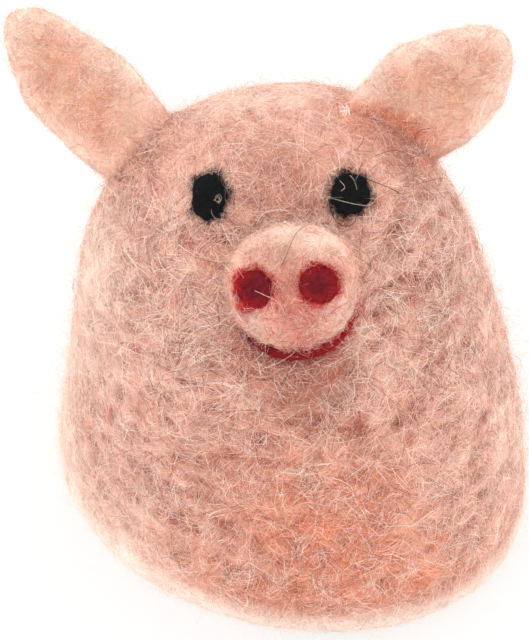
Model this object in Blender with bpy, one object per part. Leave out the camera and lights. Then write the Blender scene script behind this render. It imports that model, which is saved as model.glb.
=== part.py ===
"""Egg cosy of fulled wool with a pig's face, standing on its hem, its open end down.

A hollow dome carries two felt ears, a felt snout disc with two nostrils set into it,
a red felt mouth under the snout and two black felt eyes. Sizes here are millimetres;
points are turned to metres where a mesh is made. The front faces -Y and +Z is up.
"""
import math
from collections import namedtuple

import bmesh
import bpy
import numpy as np
from mathutils import Matrix, Vector
from mathutils.bvhtree import BVHTree

MM = 0.001
GAP = 0.3                   # air between two pieces that touch on the real thing
SHARP_EDGE = 50.0           # degrees between faces from which an edge is shaded sharp

# Cover
WALL = 3.8                  # fulled knit, measured through the wall
HEM_CENTRE = (2.6, 0.2)     # middle of the hem, seen from the middle of the whole footprint
RING_POINTS = 72            # points around the cover
HEM_TOP_ROW = 3             # the row of the table where the rounded hem ends
HEM_RINGS = 11              # rings in the rounded hem
UPPER_RINGS = 22            # rings from there to the crown
INNER_EVERY = 2             # the inside takes one ring in this many
LIP_WIDTH = 0.7             # rounding of the hem's inner edge
LIP_HEIGHT = 1.1

# Hem crease, pressed in parallel to the rim and deepest at the front right
CREASE_HEIGHT = 5.0
CREASE_DEPTH = 0.8
CREASE_WIDTH = 0.9
CREASE_ANGLE = 55.0         # degrees round the cover from the right-hand side
CREASE_FADE = 0.3           # share of the depth that is left at the back

# Snout
SNOUT_SEAT = (-0.3, 62.0)   # across and up, where its middle lies on the cover
SNOUT_HALF_WIDTH = 10.5
SNOUT_HALF_HEIGHT = 10.1
SNOUT_SQUARENESS = 2.2      # 2 is an ellipse, more is squarer
SNOUT_CHIN = 0.05           # how much narrower it is at the bottom
SNOUT_CROWN = 4.8           # its middle stands out this far from the cover
FACE_ROLL = 2.6             # degrees by which the snout is turned, right side up

# Mouth
MOUTH_START = 218.0         # degrees round the snout, from its right-hand side
MOUTH_END = 343.0
MOUTH_HALF_WIDTH = 1.4
MOUTH_HALF_THICKNESS = 1.3
MOUTH_TUCK = 0.2            # how far its inner edge is cut away under the snout's side
MOUTH_THIN_END = 0.45       # share of the thickness that the ends keep
MOUTH_STEPS = 30
MOUTH_SIDES = 10

# Eyes
EYE_CORNERS = 5             # soft corners in a wavering outline
SOCKET_DEPTH = 0.6          # the felting needle draws the cover in under each eye
SOCKET_RADIUS = 4.8

# Ears
EAR_RINGS = 19
EAR_SIDES = 20
EAR_EDGE = 2.8              # roundness of an ear's edge: 2 is an ellipse, more is fuller

PIECE_POINTS = 28           # points round the outline of a small piece
POCKET_MOUTH = 1.4          # the cutter of a nostril's pocket reaches this far out

Section = namedtuple("Section", "height half_width half_depth shift turn")
Lump = namedtuple("Lump", "round_waves up_length phase size")
Ear = namedtuple("Ear", "name seat tilt lean rows")
EarRow = namedtuple("EarRow", "along half_width middle thickness forward")
Eye = namedtuple("Eye", "name seat half_width half_height waver turn")
Nostril = namedtuple("Nostril", "name across up half_width half_height turn")
Layer = namedtuple("Layer", "depth inset")
Slice = namedtuple("Slice", "depth scale")

# Outside of the cover. A nearly round hem flattens from front to back towards the crown;
# shift moves a section sideways and turn skews it, in degrees.
COVER = (
    Section(0.0, 42.0, 41.9, -0.2, 8.6),
    Section(1.2, 43.1, 43.5, -0.2, 8.6),
    Section(4.0, 43.4, 44.3, -0.1, 8.6),
    Section(9.3, 43.0, 43.8, 0.0, 8.6),
    Section(20.5, 41.3, 40.9, 0.2, 7.6),
    Section(33.6, 39.0, 36.6, -0.7, 5.7),
    Section(46.6, 36.2, 31.4, -1.8, 3.8),
    Section(57.8, 32.6, 26.3, -2.2, 1.9),
    Section(67.1, 27.8, 21.3, -1.8, 1.0),
    Section(74.6, 21.1, 15.6, -1.2, 0.0),
    Section(79.3, 14.1, 10.4, -1.0, 0.0),
    Section(82.1, 0.0, 0.0, -0.8, 0.0),
)

# Soft unevenness of the hand-fulled cover
LUMPS = (
    Lump(3, 61.0, 1.0, 0.33),
    Lump(5, 44.0, 3.4, 0.10),
    Lump(8, 27.0, 4.6, 0.14),
    Lump(11, 19.0, 4.9, 0.10),
)

# Ears, each a table from the root, inside the cover, to the tip. The middle of a row lies
# to one side of the ear's own line, and forward cups the felt. Tilt and lean are degrees.
EARS = (
    Ear("ear_left", (-24.5, 0.0, 68.5), -40.0, 15.0, (
        EarRow(-5.0, 5.6, 1.0, 4.8, 0.0),
        EarRow(0.0, 6.7, 1.1, 4.9, 0.0),
        EarRow(3.0, 7.9, 0.8, 4.8, 0.1),
        EarRow(7.0, 8.8, 0.7, 4.7, 0.3),
        EarRow(12.0, 9.3, 0.9, 4.5, 0.5),
        EarRow(17.0, 9.5, 0.5, 4.3, 0.6),
        EarRow(22.0, 8.7, 0.1, 4.1, 0.6),
        EarRow(27.0, 7.1, 0.1, 3.9, 0.4),
        EarRow(31.0, 5.3, 0.4, 3.6, 0.1),
        EarRow(34.0, 3.2, 0.6, 3.0, -0.2),
        EarRow(35.6, 0.0, 0.7, 0.0, -0.3),
    )),
    Ear("ear_right", (17.0, -0.5, 75.5), 43.0, 0.0, (
        EarRow(-6.0, 7.2, -1.9, 4.8, 0.0),
        EarRow(0.0, 9.3, -1.5, 4.9, 0.0),
        EarRow(3.0, 10.4, -1.0, 4.8, 0.1),
        EarRow(7.0, 11.0, -1.1, 4.7, 0.3),
        EarRow(11.0, 11.3, -1.2, 4.5, 0.5),
        EarRow(15.0, 10.5, -1.0, 4.3, 0.5),
        EarRow(19.0, 8.6, -0.9, 4.0, 0.3),
        EarRow(22.5, 6.1, -0.7, 3.7, 0.0),
        EarRow(25.0, 3.4, -0.5, 3.1, -0.3),
        EarRow(26.5, 0.0, -0.4, 0.0, -0.4),
    )),
)

# Eyes: the seat is across and up on the cover
EYES = (
    Eye("eye_left", (-13.9, 72.0), 3.3, 4.1, 0.02, 12.0),
    Eye("eye_right", (9.1, 73.2), 3.7, 3.6, 0.03, 30.0),
)
EYE_SLICES = (Slice(-1.6, 0.6), Slice(-0.9, 0.94), Slice(0.1, 1.0), Slice(0.7, 0.88), Slice(1.05, 0.5))

# Nostrils: across and up from the middle of the snout's front
NOSTRILS = (
    Nostril("nostril_left", -6.1, 0.2, 2.5, 3.0, 20.0),
    Nostril("nostril_right", 4.3, 0.5, 3.0, 2.9, 0.0),
)
NOSTRIL_BOWL = (Slice(-2.4, 0.5), Slice(-1.9, 0.84), Slice(-1.1, 1.0))
NOSTRIL_FRONT = (Slice(-0.7, 0.94), Slice(-0.6, 0.6))

# Snout, from its hidden back to its front
SNOUT_LAYERS = (
    Layer(-5.0, 0.6), Layer(0.4, 0.0), Layer(2.6, 0.05), Layer(3.8, 0.6), Layer(4.5, 1.6), Layer(4.75, 3.4),
)

FELTS = {
    "rose": ((0.74, 0.38, 0.30), 0.95),
    "peach": ((0.86, 0.48, 0.34), 0.94),
    "cream": ((0.87, 0.56, 0.45), 0.94),
    "red": ((0.28, 0.012, 0.02), 0.95),
    "black": ((0.012, 0.014, 0.016), 0.9),
}


def felt(name):
    """A plain matt felt in one of the cosy's colours."""
    colour, roughness = FELTS[name]
    material = bpy.data.materials.new("felt_" + name)
    material.use_nodes = True
    shader = material.node_tree.nodes["Principled BSDF"]
    shader.inputs["Base Color"].default_value = (*colour, 1.0)
    shader.inputs["Roughness"].default_value = roughness
    shader.inputs["Metallic"].default_value = 0.0
    return material


def smooth_rows(rows, stations, closing):
    """Reads a table as one smooth curve, at stations given as row numbers with fractions.

    The curve's pace follows the first two columns. Columns named in closing reach zero in the
    last row and change sign past it, so that the form closes round and not to a spike.
    """
    table = np.array(rows, float)
    beyond = table[-2].copy()
    for column in closing:
        beyond[rows[0]._fields.index(column)] *= -1
    padded = np.vstack([table, beyond])
    chords = np.hypot(np.diff(padded[:, 0]), np.diff(padded[:, 1]))
    knots = np.concatenate([[0.0], np.cumsum(np.sqrt(chords))])
    slopes = np.zeros_like(table)
    slopes[0] = (table[1] - table[0]) / (knots[1] - knots[0])
    for i in range(1, len(table)):
        slopes[i] = (padded[i + 1] - padded[i - 1]) / (knots[i + 1] - knots[i - 1])
    result = []
    for station in stations:
        i = min(int(station), len(table) - 2)
        t = station - i
        span = knots[i + 1] - knots[i]
        start = table[i] * (2 * t**3 - 3 * t**2 + 1) + slopes[i] * span * (t**3 - 2 * t**2 + t)
        end = table[i + 1] * (3 * t**2 - 2 * t**3) + slopes[i + 1] * span * (t**3 - t**2)
        result.append(start + end)
    return np.array(result)


def cover_rings():
    """Points on the smooth outside of the cover, ring by ring from the hem to the crown."""
    hem = np.linspace(0, HEM_TOP_ROW, HEM_RINGS)
    upper = np.linspace(HEM_TOP_ROW, len(COVER) - 1, UPPER_RINGS)[1:]
    rows = smooth_rows(COVER, [*hem, *upper], ("half_width", "half_depth"))
    angles = np.linspace(0, 2 * math.pi, RING_POINTS, endpoint=False)
    height, half_width, half_depth, shift, turn = (column[:, None] for column in rows.T)
    x = shift + half_width * np.cos(angles)
    y = -half_depth * np.sin(angles + np.radians(turn))
    return np.stack([x, y, np.broadcast_to(height, x.shape)], axis=-1)


def outward(rings):
    """The outward direction at every point of the rings."""
    around = np.roll(rings, -1, axis=1) - np.roll(rings, 1, axis=1)
    upward = np.gradient(rings, axis=0)
    normals = np.cross(upward, around)
    normals[-1] = (0, 0, 1)
    return normals / np.linalg.norm(normals, axis=-1, keepdims=True)


def relief(rings):
    """How far the felt stands out at each point: lumps, the hem crease and the eye sockets."""
    x, y, z = np.moveaxis(rings, -1, 0)
    angle = np.arctan2(-y, x)
    height = np.zeros_like(x)
    for lump in LUMPS:
        rise = 2 * math.pi * z / lump.up_length
        height += lump.size * np.sin(lump.round_waves * angle + lump.phase) * np.cos(rise + 2 * lump.phase)
    below_crown = COVER[-1].height - z
    height *= np.clip(z / CREASE_HEIGHT, 0, 1) * np.clip(below_crown / CREASE_HEIGHT, 0, 1)
    facing = np.clip(np.cos(angle - math.radians(CREASE_ANGLE)), 0, 1)
    strength = CREASE_FADE + (1 - CREASE_FADE) * facing
    height -= CREASE_DEPTH * strength * np.exp(-(((z - CREASE_HEIGHT) / CREASE_WIDTH) ** 2))
    for eye in EYES:
        across, up = eye.seat
        away = np.hypot(x - across, z - up) / SOCKET_RADIUS
        height -= SOCKET_DEPTH * np.exp(-(away**2)) * (y < 0)
    return height


def cover_skin(offset=0.0):
    """The uneven outside of the cover, moved outwards by offset."""
    rings = cover_rings()
    return rings + outward(rings) * (relief(rings) + offset)[..., None]


def filled_cover(offset=0.0):
    """The cover's outside as a filled form with its faces pointing out."""
    skin = cover_skin(offset)
    return loft(skin[-2::-1], skin[-1].mean(axis=0), None)


def loft(rings, first_pole, last_pole):
    """Joins rings of equal length into one closed skin; an end without a pole is a flat face."""
    count = len(rings[0])
    points = [tuple(p) for ring in rings for p in ring]
    faces = []
    for i in range(len(rings) - 1):
        for j in range(count):
            k = (j + 1) % count
            faces.append((i * count + j, i * count + k, (i + 1) * count + k, (i + 1) * count + j))
    for pole, first in ((first_pole, 0), (last_pole, (len(rings) - 1) * count)):
        rim = list(range(first, first + count))
        if pole is None:
            faces.append(rim)
            continue
        points.append(tuple(pole))
        apex = len(points) - 1
        faces += [(rim[j], rim[(j + 1) % count], apex) for j in range(count)]
    return points, faces


def mesh_object(name, skin, material=None):
    """Makes a mesh object from a skin in millimetres and turns its faces outwards."""
    points, faces = skin
    bm = bmesh.new()
    verts = [bm.verts.new(Vector(p) * MM) for p in points]
    for face in faces:
        bm.faces.new([verts[i] for i in face])
    bmesh.ops.recalc_face_normals(bm, faces=bm.faces)
    mesh = bpy.data.meshes.new(name)
    bm.to_mesh(mesh)
    bm.free()
    mesh.shade_smooth()
    mesh.set_sharp_from_angle(angle=math.radians(SHARP_EDGE))
    obj = bpy.data.objects.new(name, mesh)
    bpy.context.scene.collection.objects.link(obj)
    if material:
        mesh.materials.append(material)
    return obj


def cutter_object(name, skin):
    """A form that only cuts other pieces and isn't part of the cosy."""
    obj = mesh_object(name, skin)
    obj.hide_render = True
    obj.display_type = "WIRE"
    return obj


def cut(obj, *cutters):
    """Takes each cutter's space out of the object."""
    for cutter in cutters:
        boolean = obj.modifiers.new("cut_by_" + cutter.name, "BOOLEAN")
        boolean.operation = "DIFFERENCE"
        boolean.solver = "EXACT"
        boolean.object = cutter


def make_cover(material):
    """The hollow cover: its outside, the flat foot of the hem, and its inside one wall in."""
    outside = cover_skin()
    outside[0][:, 2] = 0.0
    smooth = cover_rings()
    normals = outward(smooth)
    inside = (smooth - normals * WALL)[HEM_RINGS - 1::INNER_EVERY]
    lip = inside[0].copy()
    lip[:, 2] = LIP_HEIGHT
    foot = lip + normals[HEM_RINGS - 1] * LIP_WIDTH
    foot[:, 2] = 0.0
    rings = [*outside[-2::-1], foot, lip, *inside[:-1]]
    skin = loft(rings, outside[-1].mean(axis=0), inside[-1].mean(axis=0))
    return mesh_object("body", skin, material)


def seat_on(tree, across, up):
    """A frame on the front of the cover: X to the right, Y up the felt, Z straight out of it."""
    start = Vector((across, -2 * COVER[0].half_depth, up))
    point, normal, _, _ = tree.ray_cast(start, Vector((0, 1, 0)))
    z_axis = normal.normalized()
    x_axis = Vector((0, 0, 1)).cross(z_axis).normalized()
    y_axis = z_axis.cross(x_axis)
    frame = Matrix((x_axis, y_axis, z_axis)).transposed().to_4x4()
    frame.translation = point
    return frame


def placed(frame, points):
    """Local points moved into the cosy by a frame."""
    return [frame @ Vector(p) for p in points]


def outline(half_width, half_height, squareness=2.0, count=PIECE_POINTS):
    """A closed outline between an ellipse and a rounded square, as (x, y) pairs."""
    points = []
    for j in range(count):
        angle = 2 * math.pi * j / count
        cosine, sine = math.cos(angle), math.sin(angle)
        x = half_width * math.copysign(abs(cosine) ** (2 / squareness), cosine)
        y = half_height * math.copysign(abs(sine) ** (2 / squareness), sine)
        points.append((x, y))
    return points


def snout_skin(frame, grow=0.0):
    """The padded snout disc: a soft square, a little narrower at the chin."""
    rings = []
    for depth, inset in SNOUT_LAYERS:
        side = grow - inset
        shape = outline(SNOUT_HALF_WIDTH + side, SNOUT_HALF_HEIGHT + side, SNOUT_SQUARENESS)
        ring = [(x * (1 + SNOUT_CHIN * y / SNOUT_HALF_HEIGHT), y, depth + grow) for x, y in shape]
        rings.append(placed(frame, ring))
    return loft(rings, None, frame @ Vector((0, 0, SNOUT_CROWN + grow)))


def snout_edge(angle):
    """Distance from the snout's middle to its edge in a direction."""
    across = (abs(math.cos(angle)) / SNOUT_HALF_WIDTH) ** SNOUT_SQUARENESS
    up = (abs(math.sin(angle)) / SNOUT_HALF_HEIGHT) ** SNOUT_SQUARENESS
    return (across + up) ** (-1 / SNOUT_SQUARENESS)


def nostril_frame(face, nostril):
    """A frame at a nostril, on the snout's front."""
    place = Matrix.Translation((nostril.across, nostril.up, SNOUT_CROWN))
    return face @ place @ Matrix.Rotation(math.radians(nostril.turn), 4, "Z")


def nostril_ring(frame, nostril, depth, scale, grow=0.0):
    """One oval of a nostril or of its pocket."""
    shape = outline(nostril.half_width * scale + grow, nostril.half_height * scale + grow)
    return placed(frame, [(x, y, depth) for x, y in shape])


def nostril_skin(frame, nostril):
    """A red plug with a rounded back and a slightly dished front."""
    rings = [nostril_ring(frame, nostril, *piece) for piece in NOSTRIL_BOWL + NOSTRIL_FRONT]
    back = frame @ Vector((0, 0, NOSTRIL_BOWL[0].depth - GAP / 2))
    dish = frame @ Vector((0, 0, NOSTRIL_FRONT[-1].depth - GAP))
    return loft(rings, back, dish)


def pocket_skin(frame, nostril):
    """The space of a nostril's plug, a gap larger all round and open to the front."""
    rings = [nostril_ring(frame, nostril, depth - GAP, scale, GAP) for depth, scale in NOSTRIL_BOWL]
    rings.append(nostril_ring(frame, nostril, POCKET_MOUTH, 1.0, GAP))
    back = frame @ Vector((0, 0, NOSTRIL_BOWL[0].depth - 1.5 * GAP))
    return loft(rings, back, None)


def mouth_skin(face, tree):
    """A crescent roll that follows the snout's lower edge and lies on the cover."""
    rings, ends = [], []
    for step in range(MOUTH_STEPS + 1):
        share = step / MOUTH_STEPS
        angle = math.radians(MOUTH_START + (MOUTH_END - MOUTH_START) * share)
        swell = math.sqrt(math.sin(math.pi * share))
        half_width = MOUTH_HALF_WIDTH * swell
        reach = snout_edge(angle) + GAP - MOUTH_TUCK + half_width
        local = Vector((reach * math.cos(angle), reach * math.sin(angle), 0))
        point, normal, _, _ = tree.find_nearest(face @ local)
        if step in (0, MOUTH_STEPS):
            ends.append(point)
            continue
        away = point - face.translation
        side = (away - normal * away.dot(normal)).normalized() * half_width
        out = normal * MOUTH_HALF_THICKNESS * (MOUTH_THIN_END + (1 - MOUTH_THIN_END) * swell)
        turns = [2 * math.pi * j / MOUTH_SIDES for j in range(MOUTH_SIDES)]
        rings.append([point + side * math.cos(turn) + out * math.sin(turn) for turn in turns])
    return loft(rings, *ends)


def eye_skin(seat, eye):
    """A small lens with a wavering outline."""
    frame = seat @ Matrix.Rotation(math.radians(eye.turn), 4, "Z")
    corner_angle = EYE_CORNERS * 2 * math.pi / PIECE_POINTS
    rings = []
    for depth, scale in EYE_SLICES:
        ring = []
        for j, (x, y) in enumerate(outline(eye.half_width * scale, eye.half_height * scale)):
            reach = 1 + eye.waver * math.cos(corner_angle * j)
            ring.append((x * reach, y * reach, depth))
        rings.append(placed(frame, ring))
    back = frame @ Vector((0, 0, EYE_SLICES[0].depth - GAP))
    front = frame @ Vector((0, 0, EYE_SLICES[-1].depth + GAP / 3))
    return loft(rings, back, front)


def ear_skin(ear):
    """A leaf of thick felt with rounded edges, cupped a little towards the front."""
    frame = Matrix.Translation(ear.seat)
    frame = frame @ Matrix.Rotation(math.radians(-ear.lean), 4, "X")
    frame = frame @ Matrix.Rotation(math.radians(ear.tilt), 4, "Y")
    stations = np.linspace(0, len(ear.rows) - 1, EAR_RINGS)
    rows = smooth_rows(ear.rows, stations, ("half_width", "thickness"))
    rings = []
    for along, half_width, middle, thickness, forward in rows[:-1]:
        ring = []
        for x, y in outline(1.0, thickness / 2, EAR_EDGE, EAR_SIDES):
            ring.append((middle + x * half_width, y + forward * (1 - 2 * x * x), along))
        rings.append(placed(frame, ring))
    along, _, middle, _, forward = rows[-1]
    return loft(rings, None, frame @ Vector((middle, forward, along)))


def main():
    """Builds every piece and hangs it on one guide at the hem's middle."""
    for old in list(bpy.data.objects):
        bpy.data.objects.remove(old)
    red, black, peach = felt("red"), felt("black"), felt("peach")
    tree = BVHTree.FromPolygons(*filled_cover())
    face = seat_on(tree, *SNOUT_SEAT) @ Matrix.Rotation(math.radians(FACE_ROLL), 4, "Z")

    cover = make_cover(felt("rose"))
    cover_space = cutter_object("cover_space", filled_cover(GAP))
    snout = mesh_object("snout", snout_skin(face), felt("cream"))
    snout_space = cutter_object("snout_space", snout_skin(face, GAP))
    mouth = mesh_object("mouth", mouth_skin(face, tree), red)
    cut(snout, cover_space)
    cut(mouth, cover_space, snout_space)
    pieces = [cover, cover_space, snout, snout_space, mouth]
    for nostril in NOSTRILS:
        frame = nostril_frame(face, nostril)
        pocket = cutter_object(nostril.name + "_space", pocket_skin(frame, nostril))
        cut(snout, pocket)
        pieces += [pocket, mesh_object(nostril.name, nostril_skin(frame, nostril), red)]
    for eye in EYES:
        lens = mesh_object(eye.name, eye_skin(seat_on(tree, *eye.seat), eye), black)
        cut(lens, cover_space)
        pieces.append(lens)
    for ear in EARS:
        leaf = mesh_object(ear.name, ear_skin(ear), peach)
        cut(leaf, cover_space)
        pieces.append(leaf)

    guide = bpy.data.objects.new("hem_centre", None)
    bpy.context.scene.collection.objects.link(guide)
    guide.location = (HEM_CENTRE[0] * MM, HEM_CENTRE[1] * MM, 0)
    for piece in pieces:
        piece.parent = guide


main()
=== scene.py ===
import math
from collections import namedtuple

import bpy
import numpy as np
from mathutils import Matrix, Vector, kdtree, noise
from mathutils.bvhtree import BVHTree


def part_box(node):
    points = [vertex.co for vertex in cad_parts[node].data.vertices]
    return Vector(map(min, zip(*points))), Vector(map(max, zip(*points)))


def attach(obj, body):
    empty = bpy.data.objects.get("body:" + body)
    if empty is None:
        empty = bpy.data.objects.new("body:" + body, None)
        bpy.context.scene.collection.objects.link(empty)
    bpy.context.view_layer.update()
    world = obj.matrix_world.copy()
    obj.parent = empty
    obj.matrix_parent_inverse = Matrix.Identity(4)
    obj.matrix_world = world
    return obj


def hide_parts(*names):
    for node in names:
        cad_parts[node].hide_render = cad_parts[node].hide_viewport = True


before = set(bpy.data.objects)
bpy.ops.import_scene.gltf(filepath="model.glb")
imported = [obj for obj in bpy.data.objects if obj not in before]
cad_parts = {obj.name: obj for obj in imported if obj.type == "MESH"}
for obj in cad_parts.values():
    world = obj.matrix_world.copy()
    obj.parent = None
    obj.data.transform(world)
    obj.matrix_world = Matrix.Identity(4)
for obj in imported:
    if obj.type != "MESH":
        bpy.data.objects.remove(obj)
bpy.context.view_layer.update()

bl_info = {
    "name": "Felted egg cosy",
    "version": (1, 0, 0),
    "blender": (4, 5, 0),
    "location": "View3D > Sidebar > Egg cosy",
    "description": "A fulled wool egg cosy with a pig's face, its fuzz and its studio",
    "category": "Object",
}

MM = 0.001
COSY = "root"
SIDES = ("left", "right")
TABLE_TOP = -0.05 * MM

# The camera looks at the middle of the cosy from the front, well above the table.
AIM = Vector((-2.3, 0.2, 35.7)) * MM
CAMERA_ELEVATION = 38.0
CAMERA_DISTANCE = 420 * MM
CAMERA_LENS = 132.7
FRAME_WIDE = 529
FRAME_HIGH = 640
SENSOR = 36.0
PIXEL_SLOPE = SENSOR / FRAME_HIGH / CAMERA_LENS
PIXEL_SIZE = CAMERA_DISTANCE * SENSOR / FRAME_HIGH / CAMERA_LENS

# The soft lights: name, place, size and watts.
LIGHTS = (
    ("key", (-0.45, -0.55, 0.85), 0.55, 1.7),
    ("fill", (0.1, -0.9, 0.2), 0.6, 4.4),
    ("top", (0.0, 0.25, 1.0), 0.5, 3.9),
    ("left", (-0.85, 0.22, 0.3), 0.6, 4.2),
    ("right", (0.85, 0.22, 0.3), 0.6, 4.1),
)
SKY = 0.88

COVER_MIDDLE = Vector((2.6, 0.2, 25.0)) * MM    # rays from here meet the cover once
WELL_OUTSIDE = 0.2                              # metres from there to where such a ray starts
HEM_CENTRE = Vector((2.6, 0.2, 0)) * MM

# Rows of dimples go round the cover between these angles, as its middle sees them.
LOWEST_ROW = -36
HIGHEST_ROW = 89

# The crease over the hem's roll is deepest at this angle, from the right towards the front.
CREASE_ANGLE = 55.0
CREASE_HEIGHT = 5.9 * MM
CREASE_HALF = 1.7 * MM
CREASE_DEPTH = 0.8          # in mm
SEAM_RISE = 1.3 * MM        # how far the cover swells where an ear is sewn on

FACE_REACH = 14 * MM        # fibres with their roots further off can't reach a part of the face
LEAST = 1e-12               # a chance that is as good as none
ABOVE_TABLE = 0.02 * MM
BLUNT = 0.45                # a fibre's width at its tip
STRAY_KNOTS = 13

# A surface that fibres grow on.
Ground = namedtuple("Ground", "points faces middles areas normals tree")
# A dimple of the knit.
Dimple = namedtuple("Dimple", "spot along half_long half_high strength")
# How the cover's colour varies, an array for each: rust; dusk, with the painted shadow under the snout;
# light, with painted rim, top and hem light; orange, with painted warm light and crease shade; and pit.
Field = namedtuple("Field", "rust dusk light orange pit")
# A kind of fibre. Curl and twist are spreads in radians, and steps its number of faces.
Fibre = namedtuple("Fibre", "length width rise curl steps twist")
# A layer of the cover's fuzz: what it grows from, what it lies over, its share of the fibres, how much
# they are whitened as painted rim light, and how much they vary.
Layer = namedtuple("Layer", "fibre source over share bleach vary")
# Felting wool pushed into its carrier. Swell and rim are in mm, nap and fray are numbers of fibres, and each
# of the tails of fray is a place in the picture, a size in mm and a number.
Felting = namedtuple("Felting", "felt slot tint swell nap fray reach rise rim bright tails")
# A round patch of colour, in pixels of the camera's picture.
Patch = namedtuple("Patch", "px py radius strength")
# A loose fibre along a route in the picture, raised in its middle by half of lift in mm.
Stray = namedtuple("Stray", "tone lift thick route")

# Where the cover's wool is redder, darker or paler than the rest. Some of the red is painted shade: under
# the snout and along the crease over the hem.
RUSTY = (
    Patch(268, 188, 28, 0.5), Patch(300, 178, 22, 0.35), Patch(292, 212, 22, 0.5),
    Patch(166, 185, 16, 0.35), Patch(150, 165, 14, 0.4), Patch(205, 258, 18, 0.4),
    Patch(345, 236, 18, 0.35), Patch(400, 150, 26, 0.5), Patch(425, 190, 24, 0.35),
    Patch(152, 150, 20, 0.6), Patch(130, 178, 14, 0.45), Patch(395, 128, 22, 0.6), Patch(262, 150, 26, 0.2),
    Patch(330, 420, 34, 0.3), Patch(190, 455, 40, 0.2), Patch(250, 480, 36, 0.25),
    Patch(385, 470, 40, 0.25), Patch(300, 560, 60, 0.7), Patch(385, 560, 40, 0.35),
    Patch(300, 380, 32, 0.6), Patch(255, 345, 16, 0.4), Patch(238, 350, 18, 0.7), Patch(262, 378, 20, 0.6),
    Patch(338, 226, 15, 0.6), Patch(412, 166, 26, 0.5), Patch(188, 376, 16, 0.5), Patch(205, 440, 24, 0.4),
    Patch(408, 588, 8, 0.6), Patch(426, 577, 8, 0.5), Patch(384, 602, 8, 0.5), Patch(452, 558, 8, 0.4),
    Patch(150, 240, 30, 0.3), Patch(180, 290, 26, 0.25), Patch(264, 374, 24, 0.5), Patch(392, 300, 20, 0.3),
    Patch(305, 395, 40, 0.25), Patch(310, 535, 40, 0.2),
)
# Darker wool, and the painted shadow that the snout throws below it, strongest under its middle.
DUSKY_AND_SHADOW = (
    Patch(300, 376, 34, 1.0), Patch(345, 360, 24, 0.5), Patch(262, 356, 22, 0.5), Patch(340, 405, 30, 0.4),
    Patch(215, 300, 22, 0.35), Patch(240, 240, 16, 0.3), Patch(145, 290, 55, 0.45),
    Patch(428, 285, 56, 0.5), Patch(275, 190, 50, 0.65), Patch(375, 285, 20, 0.3),
    Patch(150, 230, 40, 0.25), Patch(230, 330, 18, 0.3), Patch(440, 330, 40, 0.25),
    Patch(336, 222, 18, 0.5), Patch(412, 172, 28, 0.6), Patch(130, 200, 24, 0.5), Patch(385, 240, 26, 0.4),
    Patch(175, 345, 24, 0.4), Patch(250, 362, 22, 0.4),
)
# Paler wool, and painted rim light along the left and right edges and painted top light on the crown.
PALE_AND_LIT = (
    Patch(120, 300, 44, 0.6), Patch(105, 400, 50, 0.5), Patch(160, 345, 30, 0.35),
    Patch(240, 100, 46, 0.45), Patch(310, 100, 40, 0.35), Patch(205, 150, 26, 0.4),
    Patch(455, 260, 34, 0.35), Patch(500, 400, 44, 0.8), Patch(515, 460, 36, 0.8), Patch(490, 300, 30, 0.7),
    Patch(84, 340, 26, 0.8), Patch(68, 470, 26, 0.8), Patch(96, 260, 22, 0.7), Patch(80, 500, 30, 0.8),
    Patch(500, 540, 34, 0.8), Patch(245, 395, 36, 0.3), Patch(385, 340, 30, 0.25), Patch(130, 535, 46, 0.9),
    Patch(170, 585, 36, 0.85), Patch(70, 430, 34, 0.6), Patch(440, 520, 46, 0.25), Patch(172, 232, 18, 0.3),
    Patch(120, 548, 26, 0.7), Patch(470, 300, 24, 0.3),
)

# Where it is painted white: mostly painted rim light along the left and right edges and painted top light on
# the crown, with one bleached white tuft by the right ear.
RIM_LIGHT_AND_BLEACH = (
    Patch(64, 440, 56, 0.42), Patch(66, 390, 56, 0.42), Patch(74, 340, 56, 0.42), Patch(85, 290, 52, 0.4),
    Patch(98, 245, 46, 0.35), Patch(82, 490, 50, 0.35), Patch(112, 545, 36, 0.3), Patch(518, 440, 46, 0.25),
    Patch(300, 90, 26, 0.3), Patch(250, 94, 26, 0.3), Patch(205, 106, 24, 0.25), Patch(346, 110, 6, 0.8),
    Patch(140, 550, 50, 0.13),
)

# Where it is painted warmer: painted warm light from the table on the lower front, painted shade along the
# crease over the hem, under the snout and by the right ear, and a faint warmer patch on the brow.
WARM_LIGHT_AND_SHADE = (
    Patch(330, 540, 64, 0.7), Patch(385, 500, 42, 0.25), Patch(270, 505, 46, 0.25),
    Patch(420, 560, 30, 0.3), Patch(275, 172, 46, 0.16), Patch(300, 392, 50, 0.16),
    Patch(375, 160, 24, 0.15), Patch(372, 607, 9, 0.6), Patch(385, 602, 9, 0.6), Patch(397, 596, 9, 0.6),
    Patch(409, 589, 9, 0.6), Patch(420, 582, 9, 0.5), Patch(431, 575, 8, 0.5), Patch(444, 566, 8, 0.4),
    Patch(350, 612, 10, 0.5),
)

# The same on the snout: bleached patches, and red dye beside the left nostril.
BLEACHED = (Patch(258, 325, 9, 0.55), Patch(341, 312, 13, 0.6), Patch(322, 237, 12, 0.35))
STAINED = (Patch(243, 308, 7, 0.65), Patch(241, 290, 6, 0.25))

# How each ear is coloured: its seed, how white its rim is painted as light through the thin felt, the orange
# (partly painted crease shade) and the painted light where it is sewn on, and its patches of orange and
# rust.
EarDye = namedtuple("EarDye", "seed rim_white root_orange root_white stains")
EARS = {
    "left": EarDye(60, 0.5, 0.12, 0.25, (Patch(48, 60, 24, 0.09),)),
    "right": EarDye(
        61, 0.62, 0.45, 0.0, (Patch(378, 116, 13, 0.82), Patch(402, 127, 14, 0.92), Patch(421, 140, 11, 0.8))
    ),
}

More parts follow.
